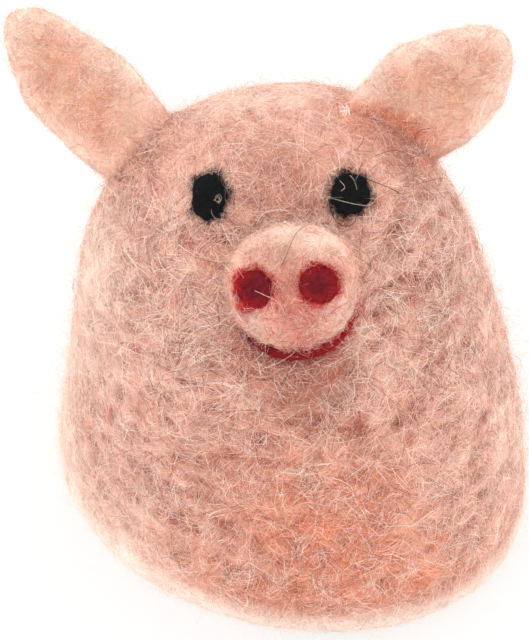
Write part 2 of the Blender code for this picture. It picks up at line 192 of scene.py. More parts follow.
# Loose fibres that stand out from the rest, each along the route that the camera sees.
STRAYS = (
    Stray("white", 0.8, 1.3, ((84, 326), (102, 340), (118, 343), (140, 352), (157, 360))),
    Stray("white", 0.7, 1.2, ((176, 374), (186, 354), (199, 335), (212, 327), (223, 321), (228, 316))),
    Stray("white", 0.7, 1.1, (
        (167, 335), (173, 332), (188, 332), (199, 335), (212, 341), (227, 354), (253, 378)
    )),
    Stray("white", 0.7, 1.1, (
        (120, 327), (127, 333), (136, 338), (149, 344), (160, 339), (171, 345), (184, 351)
    )),
    Stray("white", 0.6, 1.0, ((155, 272), (162, 269), (170, 271), (174, 276), (181, 282))),
    Stray("white", 1.0, 1.1, ((254, 291), (265, 294), (276, 300), (282, 308), (286, 316))),
    Stray("white", 0.6, 1.0, ((211, 385), (216, 382), (225, 383), (236, 386), (242, 388))),
    Stray("white", 0.6, 1.0, ((211, 386), (223, 392), (233, 398))),
    Stray("rose", 0.6, 1.0, ((274, 357), (265, 362), (253, 364), (241, 369), (233, 375))),
    Stray("white", 0.9, 1.5, ((127, 344), (122, 352), (125, 362))),
    Stray("white", 0.6, 1.1, ((257, 224), (262, 216), (268, 212), (278, 210), (289, 211))),
    Stray("white", 0.8, 1.0, ((294, 212), (294, 217), (293, 223))),
    Stray("brown", 1.2, 1.7, ((280, 269), (285, 258), (290, 244), (297, 234), (308, 229))),
    Stray("white", 0.9, 0.8, ((333, 167), (336, 178), (344, 188), (340, 192))),
    Stray("white", 0.9, 0.7, ((348, 176), (352, 182), (356, 191))),
    Stray("white", 0.7, 0.8, ((332, 199), (341, 201), (354, 205), (365, 205), (370, 201))),
    Stray("black", 0.9, 1.7, ((327, 199), (329, 212), (335, 223), (344, 227), (352, 223), (354, 216))),
    Stray("black", 1.2, 2.0, ((345, 172), (359, 179), (372, 184), (387, 190), (400, 196))),
    Stray("black", 1.0, 1.5, ((357, 196), (372, 199), (378, 194))),
    Stray("white", 0.7, 1.2, ((262, 368), (278, 362), (290, 355), (300, 349), (312, 352))),
    Stray("white", 0.7, 1.0, ((288, 373), (296, 362), (300, 350), (306, 346))),
    Stray("white", 0.8, 1.1, ((353, 316), (355, 328), (362, 338), (370, 352))),
    Stray("white", 0.8, 1.3, ((382, 526), (401, 524), (411, 524), (424, 514), (440, 505))),
    Stray("white", 0.7, 1.1, ((414, 481), (431, 481), (446, 474), (458, 468))),
    Stray("white", 0.7, 1.1, ((382, 553), (393, 553), (401, 557), (408, 561))),
    Stray("white", 0.7, 1.0, ((474, 513), (480, 510), (484, 518), (488, 531), (487, 539))),
    Stray("white", 0.6, 1.0, ((480, 485), (485, 477), (501, 477), (516, 480))),
    Stray("white", 0.7, 1.0, ((370, 471), (379, 464), (388, 468), (395, 465), (399, 456))),
    Stray("white", 0.7, 1.0, ((350, 484), (355, 500), (363, 512), (366, 522))),
    Stray("white", 0.7, 1.0, ((434, 566), (453, 557), (468, 548))),
    Stray("white", 0.7, 1.1, ((96, 470), (112, 462), (128, 466), (140, 478))),
    Stray("white", 0.8, 1.1, ((128, 402), (121, 415), (130, 428), (124, 442))),
    Stray("white", 0.7, 1.1, ((208, 383), (222, 381), (238, 389), (250, 400))),
    Stray("white", 0.8, 1.0, ((388, 262), (402, 270), (420, 268), (434, 278))),
    Stray("brown", 1.2, 1.7, ((384, 105), (391, 110), (396, 115), (402, 118), (418, 119), (419, 122))),
    Stray("brown", 1.2, 1.7, ((431, 125), (421, 126), (415, 130), (414, 137))),
    Stray("brown", 1.2, 1.7, ((414, 137), (418, 144), (418, 152), (411, 157), (406, 160))),
    Stray("brown", 1.2, 1.7, ((372, 158), (387, 154), (398, 156), (407, 159))),
    Stray("brown", 1.1, 1.7, ((359, 138), (360, 144), (354, 153))),
    Stray("brown", 1.1, 1.7, ((414, 186), (430, 182), (442, 181))),
    Stray("brown", 1.0, 1.5, ((374, 82), (381, 89))),
    Stray("brown", 1.0, 1.4, ((374, 140), (368, 150), (372, 158))),
    Stray("brown", 1.0, 1.4, ((425, 168), (438, 164))),
    Stray("brown", 1.0, 1.4, ((396, 170), (408, 178), (421, 176))),
    Stray("brown", 1.0, 1.3, ((122, 182), (131, 176), (140, 181))),
    Stray("brown", 1.0, 1.3, ((150, 186), (160, 180), (168, 184), (172, 192))),
    Stray("white", 0.6, 1.3, ((500, 71), (489, 92), (482, 106), (479, 120), (480, 127))),
    Stray("white", 0.6, 1.2, ((508, 57), (499, 65), (487, 73), (477, 76), (464, 76))),
    Stray("white", 0.6, 1.2, ((504, 58), (498, 72), (490, 81), (483, 88))),
    Stray("fawn", 0.3, 1.3, ((216, 197), (219, 195), (222, 198), (220, 202), (217, 201), (216, 198))),
    Stray("fawn", 0.5, 1.4, ((218, 198), (221, 200), (219, 203), (217, 200))),
    Stray("fawn", 0.4, 1.3, ((215, 200), (218, 197), (220, 199), (218, 202), (220, 204))),
    Stray("white", 0.7, 3.0, ((342, 106), (344, 111), (343, 117))),
    Stray("white", 0.7, 3.2, ((345, 105), (346, 111), (346, 117))),
    Stray("white", 0.7, 3.0, ((349, 105), (348, 111), (349, 116))),
    Stray("white", 0.9, 2.6, ((340, 109), (345, 110), (351, 108))),
    Stray("white", 0.9, 2.6, ((340, 113), (346, 114), (352, 112))),
    Stray("white", 1.0, 1.2, ((344, 108), (350, 103), (356, 101))),
)


def linear(value):
    """One channel of a screen colour, made linear."""
    return value / 12.92 if value <= 0.04045 else ((value + 0.055) / 1.055) ** 2.4


def colour(code):
    """A hex screen colour as linear red, green and blue."""
    return tuple(linear(int(code[i:i + 2], 16) / 255) for i in (0, 2, 4))


def dye(name, code, description):
    return bpy.props.FloatVectorProperty(
        name=name, description=description, subtype="COLOR", size=3, min=0, max=1, default=colour(code)
    )


def length(name, millimetres, description):
    return bpy.props.FloatProperty(
        name=name, description=description, unit="LENGTH", min=0, precision=5, default=millimetres * MM
    )


class CosyWool(bpy.types.PropertyGroup):
    """The colours of the wool, several of which also paint light and shade."""

    # The white also paints light: rim light along the edges, top light on the crown, the table's light on
    # the hem and the ears' rims, and the whitened fuzz round the edges.
    white: dye("White", "FBEADF", "Bleached fibres at the edges and in the tufts")
    pale: dye("Pale", "F8DACA", "The palest common fibre of the cover")
    peach: dye("Peach", "F1C6B2", "The cover's main fibre")
    rose: dye("Rose", "D99E8A", "Fibres in the shade of the knit")
    # In the dimples and along the hem's crease the rust is painted shade.
    rust: dye("Rust", "A24A30", "Fibres deep in the dimples")
    brown: dye("Brown", "7C3B2B", "The few dark fibres of the marl")
    fawn: dye("Fawn", "B9A48E", "Undyed fibre in the knot on the left eye")
    # The orange also paints the warm light from the table low on the front, and shade in the crease over the
    # hem and where the ears are sewn on.
    orange: dye("Orange", "E48A64", "Dye that gathered in the folds and at the hem")
    ear: dye("Ear", "DEBAA4", "The smooth felt of the ears")
    snout: dye("Snout", "E6BCA5", "The cream felt of the snout")
    blush: dye("Blush", "CF6B5C", "Red fibre worked into the snout")
    red: dye("Red", "B0262A", "Felting wool of the nostrils and the mouth")
    # In the nostrils the wine is painted shade, darkest in the middle of each hollow; it also darkens the
    # mouth towards its left end.
    wine: dye("Wine", "7A222C", "The same wool where it is pushed in")
    black: dye("Black", "1A1B1C", "Felting wool of the eyes")


class CosySizes(bpy.types.PropertyGroup):
    """The sizes of the knit and of its fuzz."""

    row: length("Knit row", 3.6, "From one row of dimples to the next")
    stitch: length("Stitch", 5.0, "From one dimple to the next in a row")
    dimple: length("Dimple depth", 0.6, "How deep the fulled knit dips at a stitch")
    grain: length("Cover mesh", 1.0, "Size of the cover's faces")
    inset: length("Inset", 0.45, "How far the dense felt lies inside the outline, which the fuzz fills")
    fibre: length("Fibre width", 0.05, "Width of a fibre, coarser than real wool so that it shows")
    fuzz: length("Fuzz length", 5.0, "Length of a fibre on the cover")
    down: length("Down length", 2.8, "Length of a fibre on the ears and the snout")
    cover_fibres: bpy.props.IntProperty(
        name="Cover fibres", description="Fibres on the cover", default=86000
    )
    ear_fibres: bpy.props.IntProperty(name="Ear fibres", description="Fibres on one ear", default=9000)
    snout_fibres: bpy.props.IntProperty(name="Snout fibres", description="Fibres on the snout", default=7000)


# Meshes


def deselect():
    for piece in bpy.context.selected_objects:
        piece.select_set(False)


def hold(piece):
    """Makes piece the only one that operators act on."""
    deselect()
    piece.select_set(True)
    bpy.context.view_layer.objects.active = piece


def linked(name, mesh):
    piece = bpy.data.objects.new(name, mesh)
    bpy.context.scene.collection.objects.link(piece)
    return piece


def merged_copy(node, name):
    """A piece of its own with the shape of a CAD node, its loose triangles merged."""
    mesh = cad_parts[node].data.copy()
    mesh.materials.clear()
    piece = linked(name, mesh)
    hold(piece)
    bpy.ops.mesh.customdata_custom_splitnormals_clear()
    bpy.ops.object.mode_set(mode="EDIT")
    bpy.ops.mesh.select_all(action="SELECT")
    bpy.ops.mesh.remove_doubles(threshold=0.001 * MM)
    bpy.ops.object.mode_set(mode="OBJECT")
    for layer in list(mesh.uv_layers):
        mesh.uv_layers.remove(layer)
    return piece


def applied(piece, kind, **settings):
    """Adds a modifier of that kind, set up, and applies it."""
    hold(piece)
    modifier = piece.modifiers.new(kind.title(), kind)
    for key, value in settings.items():
        setattr(modifier, key, value)
    bpy.ops.object.modifier_apply(modifier=modifier.name)


def remeshed(piece, grain, smoothing):
    """Even faces all over, softened as felt is."""
    applied(piece, "REMESH", mode="VOXEL", voxel_size=grain, use_smooth_shade=True)
    applied(piece, "SMOOTH", factor=0.5, iterations=smoothing)
    hold(piece)
    bpy.ops.object.shade_smooth()


def mesh_rows(values, key):
    """One value of all elements of a mesh, as rows of x, y, z."""
    found = np.empty(len(values) * 3, np.float32)
    values.foreach_get(key, found)
    return found.reshape(-1, 3).astype(float)


def places(piece):
    return mesh_rows(piece.data.vertices, "co")


def outwards(piece):
    """The normals of the piece's vertices."""
    return mesh_rows(piece.data.vertex_normals, "vector")


def move_to(piece, points):
    piece.data.vertices.foreach_set("co", points.astype(np.float32).ravel())
    piece.data.update()


def ground_of(piece):
    """What fibres can grow on: the piece's surface as arrays, and a tree that finds its nearest point."""
    mesh = piece.data
    mesh.calc_loop_triangles()
    faces = np.empty(len(mesh.loop_triangles) * 3, np.int32)
    mesh.loop_triangles.foreach_get("vertices", faces)
    faces = faces.reshape(-1, 3)
    points = places(piece)
    a, b, c = points[faces[:, 0]], points[faces[:, 1]], points[faces[:, 2]]
    cross = np.cross(b - a, c - a)
    tree = BVHTree.FromPolygons(points.tolist(), faces.tolist())
    return Ground(points, faces, (a + b + c) / 3, np.linalg.norm(cross, axis=1) / 2, outwards(piece), tree)


def joined_tree(grounds):
    """One tree over several surfaces."""
    points, faces, start = [], [], 0
    for ground in grounds:
        points += ground.points.tolist()
        faces += (ground.faces + start).tolist()
        start += len(ground.points)
    return BVHTree.FromPolygons(points, faces)


def nearest(tree, points):
    """The nearest places on a surface and its normals there."""
    found = [tree.find_nearest(Vector(p)) for p in points.tolist()]
    return np.array([f[0] for f in found]), np.array([f[1] for f in found])


def cad_tree(node):
    """The surface of a CAD node, as a tree."""
    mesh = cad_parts[node].data
    mesh.calc_loop_triangles()
    return BVHTree.FromPolygons([v.co for v in mesh.vertices], [t.vertices for t in mesh.loop_triangles])


# The ears, with how strongly the cover is painted orange and rust where each is sewn on, partly as shade in
# the crease of its seam, and the nostrils.
EAR_ROOTS = ((cad_tree("ear_left"), 0.2), (cad_tree("ear_right"), 0.9))
NOSTRIL_TREES = [cad_tree(f"nostril_{side}") for side in SIDES]


def point_tree(points):
    """A tree that finds the nearest of those points."""
    tree = kdtree.KDTree(len(points))
    for index, point in enumerate(points.tolist()):
        tree.insert(point, index)
    tree.balance()
    return tree


def gap_to(tree, points):
    """How far each point is from a surface."""
    return np.array([tree.find_nearest(Vector(p))[3] for p in points.tolist()])


def bell(distance, reach):
    """1 at no distance, and next to nothing at twice the reach."""
    return np.exp(-((distance / reach) ** 2))


def close_to(tree, points, reach):
    """From 0 to 1, how close each point is to a surface, for a reach in mm."""
    return bell(gap_to(tree, points), reach * MM)


def unit(rows):
    return rows / np.maximum(np.linalg.norm(rows, axis=1, keepdims=True), 1e-12)


def clouds(points, size, seed):
    """Soft noise from -1 to 1 whose lumps are about that size."""
    shift = Vector((seed * 7.31, seed * 3.17, seed * 11.93))
    return np.array([noise.noise(Vector(p) / size + shift) for p in points.tolist()]) * 1.6


# Where things are on the front


def camera_frame():
    """The camera's place and its right, up and forward directions."""
    tilt = math.radians(CAMERA_ELEVATION)
    back = Vector((0, -math.cos(tilt), math.sin(tilt)))
    right = Vector((1, 0, 0))
    return AIM + back * CAMERA_DISTANCE, right, right.cross(-back), -back


def sight(px, py):
    """The ray on which the camera sees that spot of the picture."""
    place, right, up, forward = camera_frame()
    way = forward + right * (px - FRAME_WIDE / 2) * PIXEL_SLOPE - up * (py - FRAME_HIGH / 2) * PIXEL_SLOPE
    return place, way.normalized()


def seen_at(trees, px, py):
    """The nearest place and normal that the camera sees there, or None off the object."""
    place, way = sight(px, py)
    hits = [tree.ray_cast(place, way) for tree in trees]
    hits = [hit for hit in hits if hit[0] is not None]
    return min(hits, key=lambda hit: hit[3])[:2] if hits else None


def patched(points, tree, patches):
    """From 0 to 1, how much the patches colour each point."""
    amount = np.zeros(points.shape[:-1])
    for patch in patches:
        spot, _ = seen_at([tree], patch.px, patch.py)
        away = np.linalg.norm(points - np.array(spot), axis=-1)
        amount += patch.strength * bell(away, patch.radius * PIXEL_SIZE)
    return np.clip(amount, 0, 1)


# The fulled knit


def knit_dimples(tree, sizes, rng):
    """The dimples that the stitches leave, row by row round the cover."""
    found = []
    rise = math.radians(LOWEST_ROW)
    odd = False
    while rise < math.radians(HIGHEST_ROW):
        flat = math.cos(rise)
        front = Vector((0, -flat, math.sin(rise)))
        reach = (tree.ray_cast(COVER_MIDDLE + front * WELL_OUTSIDE, -front)[0] - COVER_MIDDLE).length
        count = max(3, round(2 * math.pi * reach * flat / sizes.stitch))
        for stitch in range(count):
            turn = 2 * math.pi * (stitch + 0.5 * odd + rng.uniform(-0.3, 0.3)) / count
            tilt = rise + rng.normal(0, 0.16) * sizes.row / reach
            way = Vector((math.sin(turn) * math.cos(tilt), -math.cos(turn) * math.cos(tilt), math.sin(tilt)))
            spot = tree.ray_cast(COVER_MIDDLE + way * WELL_OUTSIDE, -way)[0]
            along = Vector((math.cos(turn), math.sin(turn), 0))
            strength = min(1.1, rng.lognormal(-0.45, 0.55))
            half_long, half_high = rng.uniform(1.2, 2.5) * MM, rng.uniform(0.8, 1.3) * MM
            found.append(Dimple(spot, along, half_long, half_high, strength))
        rise += sizes.row / reach
        odd = not odd
    return found


def dimpled(points, dimples):
    """How deep in a dimple each point lies, 1 at the bottom of a common one."""
    tree = point_tree(points)
    depth = np.zeros(len(points))
    for dimple in dimples:
        near = [index for _, index, _ in tree.find_range(dimple.spot, 2.3 * dimple.half_long)]
        if not near:
            continue
        away = points[near] - np.array(dimple.spot)
        side = away @ np.array(dimple.along)
        rest = np.linalg.norm(away - side[:, None] * np.array(dimple.along), axis=1)
        slope = -((side / dimple.half_long) ** 2) - (rest / dimple.half_high) ** 2
        depth[near] += dimple.strength * np.exp(slope)
    return depth


def outside_of_cover(points, normals):
    """1 on the outside of the cover, 0 inside it."""
    away = unit(points - np.array(COVER_MIDDLE))
    return ((normals * away).sum(axis=1) > -0.15).astype(float)


def hem_crease(points):
    """From 0 to 1, how deep in the crease over the hem's roll each point lies."""
    turn = np.arctan2(-(points[:, 1] - HEM_CENTRE.y), points[:, 0] - HEM_CENTRE.x)
    facing = np.clip(np.cos(turn - math.radians(CREASE_ANGLE)), 0, 1)
    return (0.25 + 0.75 * facing) * bell(points[:, 2] - CREASE_HEIGHT, CREASE_HALF)


def crown_calm(points):
    """From 0 to 1, how smooth the wool lies, which is smoothest on the crown."""
    return np.clip((points[..., 2] / MM - 66) / 12, 0, 1)


def painted_light_and_bleach(points, tree):
    """From 0 to 1, how far the wool is painted white: painted light from the table at the hem's lower edge,
    and where the patches paint rim light along the edges, top light on the crown and one bleached tuft.
    """
    # Painted light from the table, whitening the hem's lower edge.
    hem = 0.88 * np.exp(-((points[..., 2] / (5.0 * MM)) ** 3))
    return np.clip(hem + patched(points, tree, RIM_LIGHT_AND_BLEACH), 0, 0.9)


def cover_field(points, tree, dimples):
    """How the wool's colour varies over the cover."""
    calm = crown_calm(points)
    pit = dimpled(points, dimples) * (1 + 0.5 * clouds(points, 1.6 * MM, 6)) * (1 - 0.6 * calm)
    height = points[:, 2] / MM
    rust = 0.15 * clouds(points, 9 * MM, 1) + 0.2 * clouds(points, 3.4 * MM, 2)
    rust = patched(points, tree, RUSTY) + rust * (1 - 0.7 * calm)
    # Painted orange and rust where the ears are sewn on, partly shade in the crease of the seam.
    root = sum(share * close_to(ear, points, 2.6) for ear, share in EAR_ROOTS)
    rust += 0.25 * root
    # dusk holds the painted shadow under the snout as well as darker wool.
    dusk = patched(points, tree, DUSKY_AND_SHADOW)
    # light holds painted rim light along the edges, painted top light on the crown and painted light on the
    # knit between the dimples, as well as paler wool.
    light = patched(points, tree, PALE_AND_LIT) + 0.3 * clouds(points, 6 * MM, 3) + 0.2 * np.clip(1 - 3 * pit, 0, 1)
    # Painted warm light from the table low on the front, and painted shade along the crease over the hem.
    orange = 0.2 * bell(height - 9, 4) + 0.2 * bell(height, 36) * (1 - 0.7 * light)
    orange += hem_crease(points) + 0.7 * root + patched(points, tree, WARM_LIGHT_AND_SHADE)
    # Painted light from the table on the hem.
    light += 2.0 * bell(height, 5)
    return Field(rust, dusk, light, np.clip(orange, 0, 1), pit)


def all_over(dye_there, count):
    """One colour for each of so many points."""
    return np.repeat(np.array([dye_there]), count, axis=0)


def mixed(colours, *added):
    """The colours with a share of each further dye mixed in, one after the other."""
    for other, share in added:
        share = np.clip(share, 0, 1)[:, None]
        colours = colours * (1 - share) + np.array(other) * share
    return colours


def cover_tint(field, wool):
    """The colour painted at each point of the cover: the wool's colour, with painted shade in the dimples,
    under the snout and in the creases, and painted light at the edges, on the crown and at the hem.
    """
    return mixed(
        all_over(wool.rose, len(field.pit)),
        (wool.peach, 0.5 + 0.55 * field.light), (wool.rust, 0.42 * field.rust + 0.05),
        (wool.brown, 0.5 * field.dusk), (wool.pale, 0.6 * (field.light - 0.5)),
        # The rust in the dimples is painted shade.
        (wool.white, 0.7 * (field.light - 0.95)), (wool.rust, 0.95 * field.pit), (wool.orange, field.orange),
    )


def painted(piece, colours, name="wool"):
    """Keeps a colour for each vertex of the piece."""
    layer = piece.data.attributes.new(name, "FLOAT_COLOR", "POINT")
    rgba = np.ones((len(colours), 4), np.float32)
    rgba[:, :3] = np.clip(colours, 0, 1)
    layer.data.foreach_set("color", rgba.ravel())


# Fibres


def grown(ground, count, fibre, rng, weight, comb=None, spread=1.0, over=None):
    """Grows fibres on a surface: (middle lines, side directions, roots). weight gives the share that each
    face gets, and comb the direction in which fibres lie, where they have one. over is the tree of what they
    lie on, where that is more than what they grow from."""
    lie = over or ground.tree
    chance = ground.areas * weight
    faces = rng.choice(len(ground.faces), count, p=chance / chance.sum())
    u, v = rng.random(count), rng.random(count)
    beyond = u + v > 1
    u[beyond], v[beyond] = 1 - u[beyond], 1 - v[beyond]
    corners = ground.faces[faces]
    share = np.stack([1 - u - v, u, v], axis=1)[..., None]
    here = (ground.points[corners] * share).sum(axis=1)
    normal = unit((ground.normals[corners] * share).sum(axis=1))
    roots = here.copy()
    if comb is None:
        angle = 5.0 * clouds(here, 8 * MM, 5) + rng.normal(0, spread, count)
        first = unit(np.cross(normal, [0.31, 0.17, 0.93]))
    else:
        first = unit(comb(here))
        angle = rng.normal(0, spread, count)
    first = unit(first - normal * (first * normal).sum(axis=1, keepdims=True))
    way = turned(first, normal, angle)
    step = fibre.length * rng.uniform(0.55, 1.4, count) / fibre.steps
    bend = rng.normal(0, fibre.curl, count)
    top = fibre.rise * rng.gamma(1.2, 0.83, count)
    # These come back to the felt, and the rest stand off it at their tips.
    loop = rng.random(count) < 0.7
    lines, sides = [], []
    for k in range(fibre.steps + 1):
        s = k / fibre.steps
        up = top * np.where(loop, math.sin(math.pi * s), s**1.3) + 0.02 * MM
        lines.append(here + normal * up[:, None])
        sides.append(np.cross(way, normal))
        if k < fibre.steps:
            bend = 0.75 * bend + rng.normal(0, fibre.curl * 0.6, count)
            way = turned(way, normal, bend)
            here, normal = nearest(lie, here + way * step[:, None])
            way = unit(way - normal * (way * normal).sum(axis=1, keepdims=True))
    lines = np.stack(lines, axis=1)
    sides = np.stack(sides, axis=1)
    along = unit(lines[:, -1] - lines[:, 0])
    roll = rng.normal(0, fibre.twist, count)[:, None]
    lift = np.cross(along[:, None, :], sides)
    sides = sides * np.cos(roll)[..., None] + lift * np.sin(roll)[..., None]
    return lines, sides, roots


def gathered(sets):
    """Several growths as one."""
    return (np.concatenate(parts) for parts in zip(*sets))


def clear_of(names, lines, rng, stay, room=0.3):
    """Which fibres keep that room in mm from those parts of the face, apart from the share that may stay."""
    clear = np.ones(len(lines), bool)
    between = (lines[:, :-1] + lines[:, 1:]) / 2
    checked = np.concatenate([lines, between], axis=1)
    for name in names:
        part = CARRIED[name]
        middle = part.points.mean(axis=0)
        near = np.nonzero(np.linalg.norm(lines[:, 0] - middle, axis=1) < FACE_REACH)[0]
        gaps = gap_to(part.tree, checked[near].reshape(-1, 3)).reshape(len(near), -1)
        clear[near] &= (gaps.min(axis=1) > room * MM) | (rng.random(len(near)) < stay)
    return clear


def turned(way, axis, angle):
    """Each direction turned round its own axis."""
    angle = angle[:, None]
    return way * np.cos(angle) + np.cross(axis, way) * np.sin(angle)


def ribbons(name, lines, sides, width, colours, rng):
    """Fibres as one mesh of flat ribbons, each with its own cell in the map and its own colour, or one for
    each knot."""
    count, knots = lines.shape[:2]
    taper = np.ones(knots)
    taper[-1] = BLUNT
    half = (width * rng.uniform(0.7, 1.3, count))[:, None] * taper[None] / 2
    edge = sides * half[..., None]
    points = np.stack([lines - edge, lines + edge], axis=2).reshape(-1, 3)
    points[:, 2] = np.maximum(points[:, 2], ABOVE_TABLE)
    corner = (np.arange(count) * knots * 2)[:, None] + (np.arange(knots - 1) * 2)[None]
    faces = np.stack([corner, corner + 1, corner + 3, corner + 2], axis=2).reshape(-1, 4)
    mesh = bpy.data.meshes.new(name)
    mesh.vertices.add(len(points))
    mesh.vertices.foreach_set("co", points.astype(np.float32).ravel())
    mesh.loops.add(faces.size)
    mesh.loops.foreach_set("vertex_index", faces.astype(np.int32).ravel())
    mesh.polygons.add(len(faces))
    mesh.polygons.foreach_set("loop_start", np.arange(0, faces.size, 4, dtype=np.int32))
    mesh.update(calc_edges=True)
    mesh.polygons.foreach_set("use_smooth", np.ones(len(faces), bool))
    cells = math.ceil(math.sqrt(count))
    column = (np.arange(count) % cells)[:, None, None]
    row = (np.arange(count) // cells)[:, None, None]
    k = (np.arange(knots - 1) / (knots - 1))[None, :, None]
    k_next = k + 1 / (knots - 1)
    across = np.array([0.15, 0.85, 0.85, 0.15])[None, None]
    along = np.concatenate([k, k, k_next, k_next], axis=2)
    u = np.broadcast_to((column + across) / cells, (count, knots - 1, 4))
    v = np.broadcast_to((row + 0.1 + 0.8 * along) / cells, (count, knots - 1, 4))
    layer = mesh.uv_layers.new(name="OFBake")
    layer.uv.foreach_set("vector", np.stack([u, v], axis=3).astype(np.float32).ravel())
    piece = linked(name, mesh)
    painted(piece, np.repeat(colours.reshape(-1, 3), knots * 2 if colours.ndim == 2 else 2, axis=0))
    return piece


def picked(rng, shares, dyes):
    """One dye for each fibre, drawn by its shares."""
    shares = np.clip(shares, 0.001, None)
    bounds = np.cumsum(shares / shares.sum(axis=1, keepdims=True), axis=1)
    pick = (rng.random(len(shares))[:, None] > bounds).sum(axis=1).clip(0, len(dyes) - 1)
    return np.array(dyes)[pick]


def varied(rng, colours, amount):
    """Each fibre a little lighter or darker than its dye."""
    return colours * np.exp(rng.normal(0, 1, len(colours)) * amount)[:, None]


# Materials


def add_node(tree, kind, at, inputs=None, **settings):
    """Adds a node with its settings. inputs holds values, or sockets to link from, by name or number."""
    node = tree.nodes.new(kind)
    node.location = at
    for key, value in settings.items():
        setattr(node, key, value)
    for key, value in (inputs or {}).items():
        if isinstance(value, bpy.types.NodeSocket):
            tree.links.new(value, node.inputs[key])
        else:
            node.inputs[key].default_value = value
    return node


def material(name):
    """An empty node material."""
    made = bpy.data.materials.new(name)
    made.use_nodes = True
    made.node_tree.nodes.clear()
    return made, made.node_tree


def felt_material(name, *, roughness, sheen, sheen_tint, mottle, grain_mm, bump_mm, glow=0.0, gloss=0.2):
    """Felted wool: matt, with a pale bloom at a grazing angle from the fibre ends that stand up. The fibres
    under the fuzz are too fine to model, so noise that is pulled into curls a few fibres wide gives them.
    glow is the share of light that goes into thin felt and comes out near by."""
    made, tree = material(name)
    place = add_node(tree, "ShaderNodeTexCoord", (-1400, 0))
    wool = add_node(tree, "ShaderNodeAttribute", (-700, 400), attribute_name="wool")
    curls, fine = (
        add_node(
            tree, "ShaderNodeTexNoise", (-1100, at),
            {
                "Vector": place.outputs["Object"], "Scale": scale / (grain_mm * MM), "Detail": detail,
                "Roughness": rough, "Distortion": pull,
            },
        )
        for at, scale, detail, rough, pull in ((200, 0.3, 4.0, 0.65, 3.5), (-100, 1, 3.0, 0.7, 1.5))
    )
    both = add_node(
        tree, "ShaderNodeMath", (-860, 60),
        {0: curls.outputs["Fac"], 1: fine.outputs["Fac"]}, operation="ADD",
    )
    spread = add_node(
        tree, "ShaderNodeMapRange", (-640, 60),
        {
            "Value": both.outputs["Value"], "From Min": 0.75, "From Max": 1.25,
            "To Min": 1 - mottle, "To Max": 1 + 0.4 * mottle,
        },
    )
    shade = add_node(
        tree, "ShaderNodeVectorMath", (-340, 200),
        {"Vector": wool.outputs["Color"], "Scale": spread.outputs["Result"]}, operation="SCALE",
    )
    bump = add_node(
        tree, "ShaderNodeBump", (-340, -200),
        {"Height": both.outputs["Value"], "Strength": 0.9, "Distance": bump_mm * MM},
    )
    shader = add_node(
        tree, "ShaderNodeBsdfPrincipled", (-80, 0),
        {
            "Base Color": shade.outputs["Vector"], "Roughness": roughness, "Normal": bump.outputs["Normal"],
            "Specular IOR Level": gloss, "Sheen Weight": sheen, "Sheen Roughness": 0.5,
            "Sheen Tint": (*sheen_tint, 1), "Subsurface Weight": glow, "Subsurface Radius": (1.0, 0.5, 0.35),
            "Subsurface Scale": 3 * MM,
        },
    )
    add_node(tree, "ShaderNodeOutputMaterial", (240, 0), {"Surface": shader.outputs["BSDF"]})
    return made


def fibre_material(name, *, sheen, gloss, through=0.0):
    """Single wool fibres: each keeps the dye of its own staple. through is the share of light that passes a
    fibre, which brightens the fuzz where it stands against the light."""
    if name in bpy.data.materials:
        return bpy.data.materials[name]
    made, tree = material(name)
    wool = add_node(tree, "ShaderNodeAttribute", (-400, 100), attribute_name="wool")
    shader = add_node(
        tree, "ShaderNodeBsdfPrincipled", (-80, 0),
        {
            "Base Color": wool.outputs["Color"], "Roughness": 0.8, "Specular IOR Level": gloss,
            "Sheen Weight": sheen, "Sheen Roughness": 0.3, "Sheen Tint": (1.0, 0.84, 0.76, 1),
        },
    )
    passed = add_node(tree, "ShaderNodeBsdfTranslucent", (-80, -420), {"Color": wool.outputs["Color"]})
    both = add_node(
        tree, "ShaderNodeMixShader", (240, 0),
        {0: through, 1: shader.outputs["BSDF"], 2: passed.outputs["BSDF"]},
    )
    add_node(tree, "ShaderNodeOutputMaterial", (440, 0), {"Surface": both.outputs["Shader"]})
    return made


def loose_fibre():
    """Loose carded wool: it shines softly at its edges, and glows where light comes through it."""
    return fibre_material("wool_fibre_loose", sheen=1.0, gloss=0.25, through=0.3)


def dyed_fibre():
    """Deeply dyed felting wool: its fibres are matt and swallow the light."""
    return fibre_material("wool_fibre_dyed", sheen=0.03, gloss=0.08)


def table_material():
    """White laminate, matt and faintly grained. It glows a little, so that nothing throws a hard shadow."""
    made, tree = material("table_white_matt")
    place = add_node(tree, "ShaderNodeTexCoord", (-900, 0))
    grain = add_node(
        tree, "ShaderNodeTexNoise", (-700, 0), {"Vector": place.outputs["Object"], "Scale": 60.0}
    )
    rough = add_node(
        tree, "ShaderNodeMapRange", (-460, -100),
        {"Value": grain.outputs["Fac"], "To Min": 0.75, "To Max": 0.9},
    )
    shader = add_node(
        tree, "ShaderNodeBsdfPrincipled", (-80, 0),
        {
            "Base Color": (*colour("7C7B7A"), 1), "Roughness": rough.outputs["Result"],
            "Specular IOR Level": 0.1, "Emission Color": (1, 1, 1, 1), "Emission Strength": 0.72,
        },
    )
    add_node(tree, "ShaderNodeOutputMaterial", (240, 0), {"Surface": shader.outputs["BSDF"]})
    return made


def wear(piece, made):
    """Gives the piece its material, and lets it ride on the cosy."""
    piece.data.materials.clear()
    piece.data.materials.append(made)
    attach(piece, COSY)


# Operators


